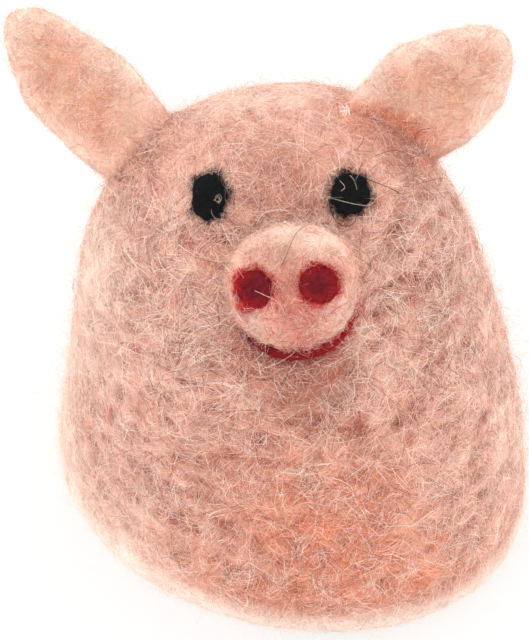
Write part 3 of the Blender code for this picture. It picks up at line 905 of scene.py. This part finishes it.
class COSY_OT_cover(bpy.types.Operator):
    """Make the cover: one piece of fulled knit with a rolled hem, hollow, closed at the crown"""

    bl_idname = "cosy.cover"
    bl_label = "Cover"

    def execute(self, context):
        sizes, wool = context.scene.cosy_sizes, context.scene.cosy_wool
        rng = np.random.default_rng(11)
        piece = merged_copy("body", "cover_felt")
        remeshed(piece, sizes.grain, 4)
        points, normals = places(piece), outwards(piece)
        inset = -sizes.inset * outside_of_cover(points, normals) * np.clip(points[:, 2] / (4 * MM), 0, 1)
        for ear, _ in EAR_ROOTS:
            inset += SEAM_RISE * close_to(ear, points, 1.5)
        move_to(piece, points + normals * inset[:, None])
        smooth = ground_of(piece)
        dimples = knit_dimples(smooth.tree, sizes, rng)
        points, normals = places(piece), outwards(piece)
        outside = outside_of_cover(points, normals)
        field = cover_field(points, smooth.tree, dimples)
        lumps = 0.16 * clouds(points, 4.5 * MM, 8) + 0.1 * clouds(points, 2.2 * MM, 9)
        height = outside * (lumps * MM - sizes.dimple * np.clip(field.pit, 0, 1.3))
        height -= outside * hem_crease(points) * CREASE_DEPTH * MM
        height += (1 - outside) * 0.15 * MM * clouds(points, 3 * MM, 4)
        height *= np.clip(points[:, 2] / (3 * MM), 0, 1)
        move_to(piece, points + normals * height[:, None])
        # Painted shade in rust along the hem's crease, and painted light in white at the hem and along the
        # edges.
        tint = mixed(
            cover_tint(field, wool),
            (wool.rust, 0.35 * hem_crease(points) * outside), (wool.white, painted_light_and_bleach(points, smooth.tree)),
        )
        painted(piece, tint)
        CARRIED.update(cover=smooth, dimples=dimples, relief=ground_of(piece), field=field, tint=tint)
        # Knit fulled until its stitches close: dull and mottled, with a pale bloom round its edges.
        felt = felt_material(
            "wool_knit_fulled", roughness=0.92, sheen=0.8, sheen_tint=wool.white, mottle=0.4,
            grain_mm=0.35, bump_mm=0.15,
        )
        wear(piece, felt)
        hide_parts("body")
        return {"FINISHED"}


def fringe_colours(rng, tint, wool):
    """The dyes of the fibres over a seam, half of them as the felt is there."""
    dyes = [wool.orange, wool.peach, wool.rust, wool.rose, wool.pale, wool.white]
    shares = all_over([0.24, 0.24, 0.08, 0.14, 0.2, 0.1], len(tint))
    return varied(rng, mixed(tint, (picked(rng, shares, dyes), rng.uniform(0.2, 0.8, len(tint)))), 0.12)


class COSY_OT_cover_fuzz(bpy.types.Operator):
    """Grow the fuzz of the cover: fibres that lie all ways over the knit, and the fine halo round it,
    whitened as painted rim light
    """

    bl_idname = "cosy.cover_fuzz"
    bl_label = "Cover fuzz"

    def execute(self, context):
        sizes, wool = context.scene.cosy_sizes, context.scene.cosy_wool
        ground, relief, dimples = CARRIED["cover"], CARRIED["relief"], CARRIED["dimples"]
        outside = outside_of_cover(ground.middles, unit(ground.normals[ground.faces[:, 0]]))
        pit = np.clip(dimpled(ground.middles, dimples), 0, 1.2)
        under = np.clip(ground.middles[:, 2] / (1.5 * MM), 0.05, 1)
        weight = outside * under * (1 - 0.65 * np.clip(pit, 0, 1)) * (1 - 0.85 * hem_crease(ground.middles))
        others = [CARRIED[name] for name in ("snout", "ear_left", "ear_right", "mouth")]
        even, sunk = joined_tree([ground, *others]), joined_tree([relief, *others])
        total = sizes.cover_fibres // 1
        dyes = [wool.white, wool.pale, wool.peach, wool.rose, wool.rust, wool.brown, wool.orange]
        lying = Fibre(sizes.fuzz, sizes.fibre * 1.3, 0.13 * MM, 0.22, 3, 0.5)
        raised = Fibre(sizes.fuzz * 0.8, sizes.fibre * 1.5, 0.4 * MM, 0.4, 3, 1.0)
        halo = Fibre(sizes.fuzz, sizes.fibre * 0.7, 1.3 * MM, 0.35, 4, 1.5)
        layers = (
            Layer(lying, relief, sunk, share=0.2, bleach=0.0, vary=0.26),
            Layer(lying, relief, sunk, share=0.2, bleach=0.0, vary=0.26),
            Layer(lying, ground, even, share=0.15, bleach=0.0, vary=0.36),
            Layer(raised, ground, even, share=0.15, bleach=0.15, vary=0.38),
            # The halo's whitening is painted rim light.
            Layer(halo, ground, even, share=0.26, bleach=0.9, vary=0.1),
        )
        skin = point_tree(relief.points)
        white = np.array(wool.white)
        for number, layer in enumerate(layers):
            rng = np.random.default_rng(20 + number)
            count = int(total * layer.share)
            lines, sides, roots = grown(layer.source, count, layer.fibre, rng, weight, over=layer.over)
            clear = clear_of(("eye_left", "eye_right"), lines, rng, 0.0, 0.36)
            clear &= clear_of(("nostril_left", "nostril_right"), lines, rng, 0.0)
            clear &= clear_of(("mouth",), lines, rng, 0.04)
            lines, sides, roots = lines[clear], sides[clear], roots[clear]
            spots = np.array([skin.find(knot)[1] for knot in lines.reshape(-1, 3).tolist()])
            spots = spots.reshape(lines.shape[:2])
            field = Field(*(part[spots[:, 0]] for part in CARRIED["field"]))
            tuft = clouds(roots, 2.4 * MM, 30)
            # Fibres are dyed darker in the dimples and along the hem's crease as painted shade, and paler
            # with the field's painted light.
            light = 0.95 + 1.1 * field.light + 1.3 * tuft - 0.6 * field.pit
            dark = 0.7 + 1.2 * field.rust + 2.4 * field.pit - 0.9 * tuft + 1.5 * hem_crease(roots)
            shares = np.stack(
                [
                    0.08 * light, 0.32 * light, 0.30 * np.ones_like(light), 0.16 * np.clip(dark, 0.2, 9),
                    0.14 * np.clip(dark, 0, 9) + 0.1 * field.dusk, 0.04 + 0.28 * field.dusk,
                    0.45 * field.orange,
                ],
                axis=1,
            )
            calm = crown_calm(roots)
            own = varied(rng, picked(rng, shares, dyes), layer.vary * (1 - 0.6 * calm))
            keeps = rng.uniform(0.35, 0.95, len(roots))     # of its own dye, the rest is the felt's colour
            keeps = np.where(own.mean(axis=1) < 0.2, 0.6 + 0.4 * keeps, keeps) * (1 - 0.4 * calm)
            # Each knot takes the colour painted on the felt beneath it, painted light and shade included.
            tints = CARRIED["tint"][spots]
            colours = tints + (own[:, None] - tints) * keeps[:, None, None]
            # Painted rim light: the layer's whitening, then the painted light at the hem and along the
            # edges.
            colours += (white - colours) * layer.bleach * rng.uniform(0.3, 1.5, len(roots))[:, None, None]
            colours += (white - colours) * painted_light_and_bleach(lines, ground.tree)[..., None]
            piece = ribbons(f"cover_fuzz_{number + 1}", lines, sides, layer.fibre.width, colours, rng)
            wear(piece, loose_fibre())
        return {"FINISHED"}


class COSY_OT_ears(bpy.types.Operator):
    """Make the two ears: leaves of thick smooth felt, paler at the rim as painted light through the thin
    edge, orange where they are sewn on, partly as painted crease shade
    """

    bl_idname = "cosy.ears"
    bl_label = "Ears"

    def execute(self, context):
        wool = context.scene.cosy_wool
        # Thick even felt: smoother and less mottled than the knit, and light comes through its thin edge.
        felt = felt_material(
            "wool_felt_ears", roughness=0.9, sheen=0.4, sheen_tint=wool.white, mottle=0.14,
            grain_mm=0.3, bump_mm=0.06, glow=0.25,
        )
        for number, side in enumerate(SIDES):
            piece = merged_copy(f"ear_{side}", f"ear_{side}_felt")
            remeshed(piece, 0.7 * MM, 3)
            points, normals = places(piece), outwards(piece)
            ripple = 0.22 * clouds(points, 5 * MM, 50 + number) + 0.08 * clouds(points, 1.8 * MM, 52)
            shrink = 0.25 + 0.2 * (1 - close_to(CARRIED["cover"].tree, points, 2))
            move_to(piece, points + normals * (ripple - shrink)[:, None] * MM)
            CARRIED[f"ear_{side}"] = ground_of(piece)
            painted(piece, ear_tint(places(piece), side, wool))
            wear(piece, felt)
            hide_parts(f"ear_{side}")
        return {"FINISHED"}


def ear_tint(points, side, wool):
    """An ear's colour: paler at its rim as painted light through the thin edge, mottled with orange, orange
    where it is sewn on, partly as painted crease shade, painted lighter at the left ear's root, and patches
    of orange and rust.
    """
    ear, cover, look = CARRIED[f"ear_{side}"], CARRIED["cover"], EARS[side]
    root = close_to(cover.tree, points, 2.4)
    steep = np.abs(ear.normals[:, 1]) < 0.4
    rim = point_tree(ear.points[steep & (gap_to(cover.tree, ear.points) > 2 * MM)])
    rim = bell(np.array([rim.find(point)[2] for point in points.tolist()]), 3.0 * MM)
    blotch = 0.35 + clouds(points, 6 * MM, look.seed) + 0.4 * clouds(points, 2.5 * MM, look.seed + 5)
    stain = patched(points, ear.tree, look.stains)
    return mixed(
        all_over(wool.ear, len(points)),
        # Painted light: the white rim and the white at the root. Painted shade, in part: the orange at the
        # root.
        (wool.orange, 0.1 + 0.25 * np.clip(blotch, 0, 1)), (wool.white, look.rim_white * rim * (1 - root)),
        (wool.orange, look.root_orange * root), (wool.white, look.root_white * root),
        (wool.orange, stain), (wool.rust, 0.45 * stain),
    )


class COSY_OT_snout(bpy.types.Operator):
    """Make the snout: a padded felt disc, cream above with painted top light along its top, and blushed
    below
    """

    bl_idname = "cosy.snout"
    bl_label = "Snout"

    def execute(self, context):
        wool = context.scene.cosy_wool
        piece = merged_copy("snout", "snout_felt")
        remeshed(piece, 0.4 * MM, 3)
        points, normals = places(piece), outwards(piece)
        ripple = 0.2 * clouds(points, 3 * MM, 71) + 0.1 * clouds(points, 1.1 * MM, 72)
        for tree in NOSTRIL_TREES:
            ripple += 0.3 * close_to(tree, points, 0.45)
        move_to(piece, points + normals * (ripple[:, None] - 0.08) * MM)
        CARRIED["snout"] = ground_of(piece)
        painted(piece, snout_tint(places(piece), wool))
        # Needled felt: firm, cloudy where the red fibre is worked in, a little light inside.
        felt = felt_material(
            "wool_felt_snout", roughness=0.9, sheen=0.35, sheen_tint=wool.white, mottle=0.28,
            grain_mm=0.25, bump_mm=0.12, glow=0.15,
        )
        wear(piece, felt)
        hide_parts("snout")
        return {"FINISHED"}


def middle_of(node):
    """The middle of a CAD node's box."""
    low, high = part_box(node)
    return np.array((low + high) / 2)


def snout_blush(points):
    """How much red fibre is worked in: round the nostrils, and low in the middle."""
    snout = CARRIED["snout"]
    low, high = snout.points.min(axis=0), snout.points.max(axis=0)
    up = (points[:, 2] - low[2]) / (high[2] - low[2])
    across = (points[:, 0] - (low[0] + high[0]) / 2) / (high[0] - low[0]) * 2
    lower = np.exp(-(((up - 0.14) / 0.2) ** 2) - ((across - 0.1) / 0.5) ** 2)
    between = np.exp(-(((up - 0.5) / 0.2) ** 2) - (across / 0.5) ** 2)
    near = sum(
        bell(np.linalg.norm(points - middle_of(f"nostril_{side}"), axis=1), 4.4 * MM) for side in SIDES
    )
    return np.clip(0.62 * lower + 0.7 * near + 0.6 * between, 0, 1)


def snout_tint(points, wool):
    """The snout's colour: cream at the top, painted whiter along its top edge as painted top light, pinker
    down, red where red fibre is worked in.
    """
    snout = CARRIED["snout"]
    low, high = snout.points[:, 2].min(), snout.points[:, 2].max()
    up = np.clip((points[:, 2] - low) / (high - low), 0, 1)
    stain = patched(points, snout.tree, STAINED)
    for tree in NOSTRIL_TREES:
        stain += 0.6 * close_to(tree, points, 0.45)
    return mixed(
        all_over(wool.snout, len(points)),
        (wool.peach, 0.7 * (1 - up) + 0.4 * clouds(points, 3 * MM, 73)),
        # The white along the top is painted top light.
        (wool.white, 0.42 * np.clip(4 * up - 3, 0, 1)), (wool.blush, 0.6 * snout_blush(points)),
        (wool.white, patched(points, snout.tree, BLEACHED)), (wool.red, 0.75 * stain),
    )


def ground_facing(ground):
    """The y of each face's normal: below 0 it faces the front."""
    return unit(ground.normals[ground.faces].sum(axis=1))[:, 1]


def uncovered(ground, cover_tree, chance):
    """The faces' chances, less those of faces that something else covers."""
    normals = unit(ground.normals[ground.faces].sum(axis=1))
    for index in np.nonzero(chance > 0.001)[0]:
        way = Vector(normals[index])
        hit = cover_tree.ray_cast(Vector(ground.middles[index]) + way * 0.01 * MM, way, 4 * MM)
        if hit[0] is not None:
            chance[index] = 0
    return chance + LEAST


def worked_in(node, carriers, seed, make, width):
    """Felting wool pushed into its carriers: the patch, the nap on it, and the fray that strays over its
    edge."""
    rng = np.random.default_rng(seed)
    piece = merged_copy(node, f"{node}_wool")
    remeshed(piece, 0.22 * MM, 2)
    points, normals = places(piece), outwards(piece)
    ripple = 0.14 * clouds(points, 0.9 * MM, seed) + 0.1 * clouds(points, 2 * MM, seed + 1)
    move_to(piece, points + normals * (ripple[:, None] + make.swell) * MM)
    ground = ground_of(piece)
    CARRIED[node] = ground
    painted(piece, make.tint(places(piece)))
    wear(piece, make.felt)
    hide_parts(node)
    over = joined_tree([ground, *carriers])
    front = np.clip(-ground_facing(ground), 0.0, 1) + 0.02
    nap = Fibre(1.6 * MM, width, 0.16 * MM, 0.6, 3, 0.8)
    lines, sides, roots = grown(ground, make.nap, nap, rng, front, over=over)
    made = ribbons(f"{node}_nap", lines, sides, width, varied(rng, make.tint(roots), 0.3), rng)
    wear(made, dyed_fibre())
    edge = sum(close_to(carrier.tree, ground.middles, 0.7) for carrier in carriers)
    middle = ground.points.mean(axis=0)
    sets = [(ground, edge * front + 1e-9, 1.0, 0.75, make.fray // 2)]
    for carrier in carriers:
        rim = close_to(ground.tree, carrier.middles, make.rim) * (ground_facing(carrier) < -0.1)
        rim = uncovered(carrier, ground.tree, rim)
        for sign in (1.0, -1.0):
            sets.append((carrier, rim, sign, 0.7, make.fray // (2 * len(carriers))))
    for target, size, count in make.tails:
        spot = seen_at([over], *target)[0]
        for carrier in carriers:
            near = bell(np.linalg.norm(carrier.middles - np.array(spot), axis=1), size * MM)
            sets.append((carrier, uncovered(carrier, ground.tree, near), -1.0, 0.35, count))
    fray = Fibre(make.reach, width, make.rise, 0.4, 3, 0.8)
    lines, sides, roots = gathered(
        [
            grown(source, count, fray, rng, weight, lambda at, sign=sign: sign * (at - middle), spread, over)
            for source, weight, sign, spread, count in sets
        ]
    )
    colours = varied(rng, make.tint(roots) * make.bright, 0.3)
    made = ribbons(f"{node}_fray", lines, sides, width * 0.85, colours, rng)
    wear(made, dyed_fibre())


class COSY_OT_nostrils(bpy.types.Operator):
    """Make the nostrils and the mouth: red felting wool, painted darker in each nostril's hollow as shade
    and darker towards the mouth's left end, frayed at its edge
    """

    bl_idname = "cosy.nostrils"
    bl_label = "Nostrils and mouth"

    def execute(self, context):
        sizes, wool = context.scene.cosy_sizes, context.scene.cosy_wool
        # Felting wool dyed red: no bloom, and dark between its fibres.
        felt = felt_material(
            "wool_felt_red", roughness=0.9, sheen=0.1, sheen_tint=wool.red, mottle=0.4, grain_mm=0.2,
            bump_mm=0.1,
        )
        width = sizes.fibre * 0.85
        snout, cover = CARRIED["snout"], CARRIED["cover"]
        for seed, side, shift, tails in (
            (
                80, "left", (0.35, 0, 0.15),
                [((243, 309), 1.0, 380), ((243, 290), 0.7, 80), ((262, 304), 0.6, 60)],
            ),
            (82, "right", (0, 0, 0), [((320, 305), 0.9, 120), ((337, 284), 0.7, 60)]),
        ):
            pit = middle_of(f"nostril_{side}") + np.array(shift) * MM

            # Painted shade: darkest in the middle of the nostril's hollow.
            def nostril_tint_and_shade(spots, pit=pit):
                away = np.linalg.norm(spots - pit, axis=1) / (2.9 * MM)
                return mixed(all_over(wool.red, len(spots)), (wool.wine, np.clip(1.9 - 1.5 * away, 0, 1)))

            make = Felting(
                felt, "felt_red", nostril_tint_and_shade, swell=0.2, nap=900, fray=1700, reach=1.25 * MM, rise=0.16 * MM,
                rim=0.42, bright=1.25, tails=tails,
            )
            worked_in(f"nostril_{side}", [snout], seed, make, width)
        middle = middle_of("mouth")

        def lip_tint(spots):
            share = np.clip(0.55 + 0.4 * (middle[0] - spots[:, 0]) / (8 * MM), 0, 1)
            return mixed(all_over(wool.red, len(spots)), (wool.wine, share))

        make = Felting(
            felt, "felt_red", lip_tint, swell=-0.3, nap=900, fray=2200, reach=1.6 * MM, rise=0.5 * MM,
            rim=0.8, bright=1.1, tails=[],
        )
        worked_in("mouth", [cover, snout], 84, make, width)
        return {"FINISHED"}


class COSY_OT_eyes(bpy.types.Operator):
    """Make the eyes: black felting wool worked into the cover, its fibres straying over the edge"""

    bl_idname = "cosy.eyes"
    bl_label = "Eyes"

    def execute(self, context):
        sizes, wool = context.scene.cosy_sizes, context.scene.cosy_wool
        # Felting wool dyed black: nearly no shine, a trace of blue on its fibres.
        felt = felt_material(
            "wool_felt_black", roughness=0.85, sheen=0.02, sheen_tint=(0.1, 0.11, 0.13), mottle=0.4,
            grain_mm=0.2, bump_mm=0.1, gloss=0.05,
        )
        for seed, side, tails in (
            (90, "left", [((218, 213), 0.8, 160), ((223, 219), 0.5, 60), ((222, 182), 0.6, 50)]),
            (92, "right", [((336, 177), 0.7, 130), ((370, 190), 0.6, 90), ((344, 208), 0.9, 120)]),
        ):
            make = Felting(
                felt, "felt_black", lambda spots: all_over(wool.black, len(spots)), swell=0.0, nap=900,
                fray=900, reach=1.3 * MM, rise=0.25 * MM, rim=0.38, bright=1.0, tails=tails,
            )
            worked_in(f"eye_{side}", [CARRIED["cover"]], seed, make, sizes.fibre * 0.8)
        return {"FINISHED"}


class COSY_OT_down(bpy.types.Operator):
    """Grow the fine down of the ears and the snout"""

    bl_idname = "cosy.down"
    bl_label = "Ear and snout down"

    def execute(self, context):
        sizes, wool = context.scene.cosy_sizes, context.scene.cosy_wool
        less = 1
        for number, side in enumerate(SIDES):
            rng = np.random.default_rng(40 + number)
            ear = CARRIED[f"ear_{side}"]
            facing = np.abs(ground_facing(ear))
            down = Fibre(sizes.down, sizes.fibre * 1.3, 0.15 * MM, 0.4, 3, 0.8)
            halo = Fibre(sizes.down * 0.9, sizes.fibre * 0.8, 0.7 * MM, 0.45, 3, 1.3)
            # The halo's fibres are whitened more, as painted rim light.
            for kind, fibre, share, bleach in (("down", down, 0.45, 0.3), ("halo", halo, 0.55, 0.7)):
                count = int(sizes.ear_fibres * share) // less
                lines, sides, roots = grown(ear, count, fibre, rng, 1.5 - facing)
                pale = 2 * bleach * rng.random(len(roots)) ** 1.5
                flat = np.abs(nearest(ear.tree, roots)[1][:, 1]) > 0.55
                dyed = flat & (rng.random(len(roots)) < 0.5 - 0.5 * bleach)
                colours = mixed(ear_tint(roots, side, wool), (wool.white, pale), (wool.orange, 0.45 * dyed))
                colours = varied(rng, colours, 0.18)
                piece = ribbons(f"ear_{side}_{kind}", lines, sides, fibre.width, colours, rng)
                wear(piece, loose_fibre())

            def sewn_tint(rng, roots, side=side):
                return fringe_colours(rng, ear_tint(roots, side, wool), wool)

            seam_fringe(f"ear_{side}_fringe", ear, 1000, 3.2 * MM, sewn_tint, 44 + number)
        rng = np.random.default_rng(70)
        snout = CARRIED["snout"]
        down = Fibre(sizes.down, sizes.fibre * 0.85, 0.5 * MM, 0.45, 3, 1.1)
        front = np.clip(-ground_facing(snout), 0.4, 1)
        for side in SIDES:
            front *= 1 - close_to(CARRIED[f"nostril_{side}"].tree, snout.middles, 1.0)
        over = joined_tree([snout, CARRIED["mouth"], CARRIED["cover"]])
        lines, sides, roots = grown(snout, sizes.snout_fibres // less, down, rng, front, over=over)
        clear = clear_of(("nostril_left", "nostril_right", "mouth"), lines, rng, 0.03)
        lines, sides, roots = lines[clear], sides[clear], roots[clear]
        pale = 0.6 * rng.random(len(roots)) ** 1.8
        rusty = 0.6 * (rng.random(len(roots)) < 0.14)
        colours = mixed(snout_tint(roots, wool), (wool.white, pale), (wool.rust, rusty))
        reds = rng.random(len(roots)) < 0.04 + 0.3 * snout_blush(roots)
        colours[reds] = np.array(wool.red) * 1.6
        piece = ribbons("snout_down", lines, sides, down.width, varied(rng, colours, 0.25), rng)
        wear(piece, loose_fibre())

        def rim_tint(rng, roots):
            tint = mixed(snout_tint(roots, wool), (wool.white, rng.random(len(roots)) ** 2))
            return fringe_colours(rng, tint, wool)

        seam_fringe("snout_fringe", snout, 1800, 2.0 * MM, rim_tint, 46)
        return {"FINISHED"}


def seam_fringe(name, sewn, count, reach, colour_of, seed):
    """The fibres that were worked over the seam of a sewn-on piece, across the crease from both sides."""
    rng = np.random.default_rng(seed)
    cover = CARRIED["cover"]
    over = joined_tree([cover, sewn])
    middle = sewn.points.mean(axis=0)
    fringe = Fibre(reach, bpy.context.scene.cosy_sizes.fibre * 1.6, 0.3 * MM, 0.35, 3, 0.9)
    found = []
    for ground, other, sign in ((cover, sewn, 1.0), (sewn, cover, -1.0)):
        near = uncovered(ground, other.tree, close_to(other.tree, ground.middles, 1.2))
        found.append(
            grown(ground, count, fringe, rng, near, lambda at, sign=sign: sign * (middle - at), 0.7, over)
        )
    lines, sides, roots = gathered(found)
    along = np.linspace(0, 1, lines.shape[1])[None, :, None]
    taut = lines[:, :1] * (1 - along) + lines[:, -1:] * along
    lines = 0.35 * lines + 0.65 * taut
    made = ribbons(name, lines, sides, fringe.width, colour_of(rng, roots), rng)
    wear(made, loose_fibre())


class COSY_OT_strays(bpy.types.Operator):
    """Lay the loose fibres that stand out, and the long fine ones that stand off the edge"""

    bl_idname = "cosy.strays"
    bl_label = "Stray fibres"

    def execute(self, context):
        sizes, wool = context.scene.cosy_sizes, context.scene.cosy_wool
        sides_of_face = [f"{part}_{side}" for part in ("ear", "eye", "nostril") for side in SIDES]
        trees = [CARRIED[name].tree for name in ("cover", "snout", "mouth", *sides_of_face)]
        rng = np.random.default_rng(100)
        for name, dark, made in (
            ("stray_fibres", False, loose_fibre()), ("stray_fibres_dark", True, dyed_fibre()),
        ):
            strays = [stray for stray in STRAYS if (stray.tone in ("black", "brown")) == dark]
            over = (0.95 if dark else 0.45) * MM
            curves = [
                smooth_line([seen_at(trees, *at) for at in stray.route], over, stray.lift * MM)
                for stray in strays
            ]
            lines, sides = (np.array(parts) for parts in zip(*curves))
            sides = sides * np.array([stray.thick for stray in strays])[:, None, None]
            colours = np.array([getattr(wool, stray.tone) for stray in strays])
            wear(ribbons(name, lines, sides, sizes.fibre, colours, rng), made)
        return {"FINISHED"}


def smooth_line(spots, over, lift):
    """A smooth line over the spots, raised in its middle, and its side directions."""
    control = [np.array(spot) + np.array(normal) * over for spot, normal in spots]
    control = [2 * control[0] - control[1], *control, 2 * control[-1] - control[-2]]
    line = []
    for share in np.linspace(0, len(spots) - 1, STRAY_KNOTS):
        i = min(int(share), len(spots) - 2)
        t = share - i
        a, b, c, d = control[i:i + 4]
        bent = 2 * b + (c - a) * t + (2 * a - 5 * b + 4 * c - d) * t**2 + (3 * b - a - 3 * c + d) * t**3
        line.append(0.5 * bent)
    line = np.array(line)
    normal = np.array(spots[len(spots) // 2][1])
    rise = np.sin(np.linspace(0, math.pi, STRAY_KNOTS))
    line = line + normal * (lift * 0.5 * rise)[:, None]
    return line, unit(np.cross(unit(np.gradient(line, axis=0)), normal))


class COSY_OT_studio(bpy.types.Operator):
    """Set up the pale table, the soft lights and the camera"""

    bl_idname = "cosy.studio"
    bl_label = "Studio"

    def execute(self, context):
        self.table()
        for name, place, size, power in LIGHTS:
            lamp = bpy.data.lights.new(name, "AREA")
            lamp.size = size
            lamp.energy = power
            lamp = linked(name, lamp)
            lamp.location = place
            lamp.rotation_euler = (AIM - Vector(place)).to_track_quat("-Z", "Y").to_euler()
        world = context.scene.world or bpy.data.worlds.new("studio")
        context.scene.world = world
        world.use_nodes = True
        sky = world.node_tree.nodes["Background"]
        sky.inputs["Color"].default_value = (1, 0.99, 0.98, 1)
        sky.inputs["Strength"].default_value = SKY
        lens = bpy.data.cameras.new("camera")
        lens.lens = CAMERA_LENS
        lens.sensor_width = SENSOR
        lens.clip_start = 0.01
        lens.clip_end = 20
        camera = linked("camera", lens)
        camera.location = camera_frame()[0]
        camera.rotation_euler = (math.radians(90 - CAMERA_ELEVATION), 0, 0)
        context.scene.camera = camera
        context.scene.view_settings.view_transform = "Standard"
        return {"FINISHED"}

    def table(self):
        """A round white table whose rim sweeps up, so that the camera sees no horizon."""
        deselect()
        bpy.ops.mesh.primitive_circle_add(
            vertices=96, radius=0.8, fill_type="NGON", location=(0, 0, TABLE_TOP)
        )
        table = bpy.context.active_object
        table.name = "table"
        bpy.ops.object.mode_set(mode="EDIT")
        bpy.ops.mesh.select_all(action="DESELECT")
        bpy.ops.mesh.select_mode(type="EDGE")
        bpy.ops.mesh.select_all(action="SELECT")
        bpy.ops.mesh.region_to_loop()
        for turn in range(1, 10):
            angle = math.radians(9 * turn)
            out = 1 + 0.16 * math.cos(angle)
            bpy.ops.mesh.extrude_edges_move(TRANSFORM_OT_translate={"value": (0, 0, 0.2 * math.sin(angle))})
            bpy.ops.transform.resize(value=(out, out, 1), center_override=(0, 0, 0))
        bpy.ops.mesh.select_all(action="SELECT")
        bpy.ops.mesh.normals_make_consistent(inside=False)
        bpy.ops.object.mode_set(mode="OBJECT")
        bpy.ops.object.transform_apply(location=True, rotation=True, scale=True)
        bpy.ops.object.shade_smooth()
        table.data.materials.append(table_material())


class COSY_PT_panel(bpy.types.Panel):
    """The cosy's steps, sizes and colours"""

    bl_idname = "COSY_PT_panel"
    bl_label = "Egg cosy"
    bl_space_type = "VIEW_3D"
    bl_region_type = "UI"
    bl_category = "Egg cosy"

    def draw(self, context):
        for step in STEPS:
            self.layout.operator(step.bl_idname)
        for group in (context.scene.cosy_sizes, context.scene.cosy_wool):
            box = self.layout.box()
            for name in group.bl_rna.properties.keys()[2:]:
                box.prop(group, name)


STEPS = (
    COSY_OT_studio, COSY_OT_cover, COSY_OT_ears, COSY_OT_snout, COSY_OT_nostrils, COSY_OT_eyes,
    COSY_OT_down, COSY_OT_cover_fuzz, COSY_OT_strays,
)
CLASSES = (CosyWool, CosySizes, *STEPS, COSY_PT_panel)
CARRIED = {}


def register():
    for cls in CLASSES:
        bpy.utils.register_class(cls)
    bpy.types.Scene.cosy_sizes = bpy.props.PointerProperty(type=CosySizes)
    bpy.types.Scene.cosy_wool = bpy.props.PointerProperty(type=CosyWool)


def unregister():
    del bpy.types.Scene.cosy_wool
    del bpy.types.Scene.cosy_sizes
    for cls in reversed(CLASSES):
        bpy.utils.unregister_class(cls)


def main():
    register()
    for step in STEPS:
        area, name = step.bl_idname.split(".")
        getattr(getattr(bpy.ops, area), name)()


if __name__ == "__main__":
    main()
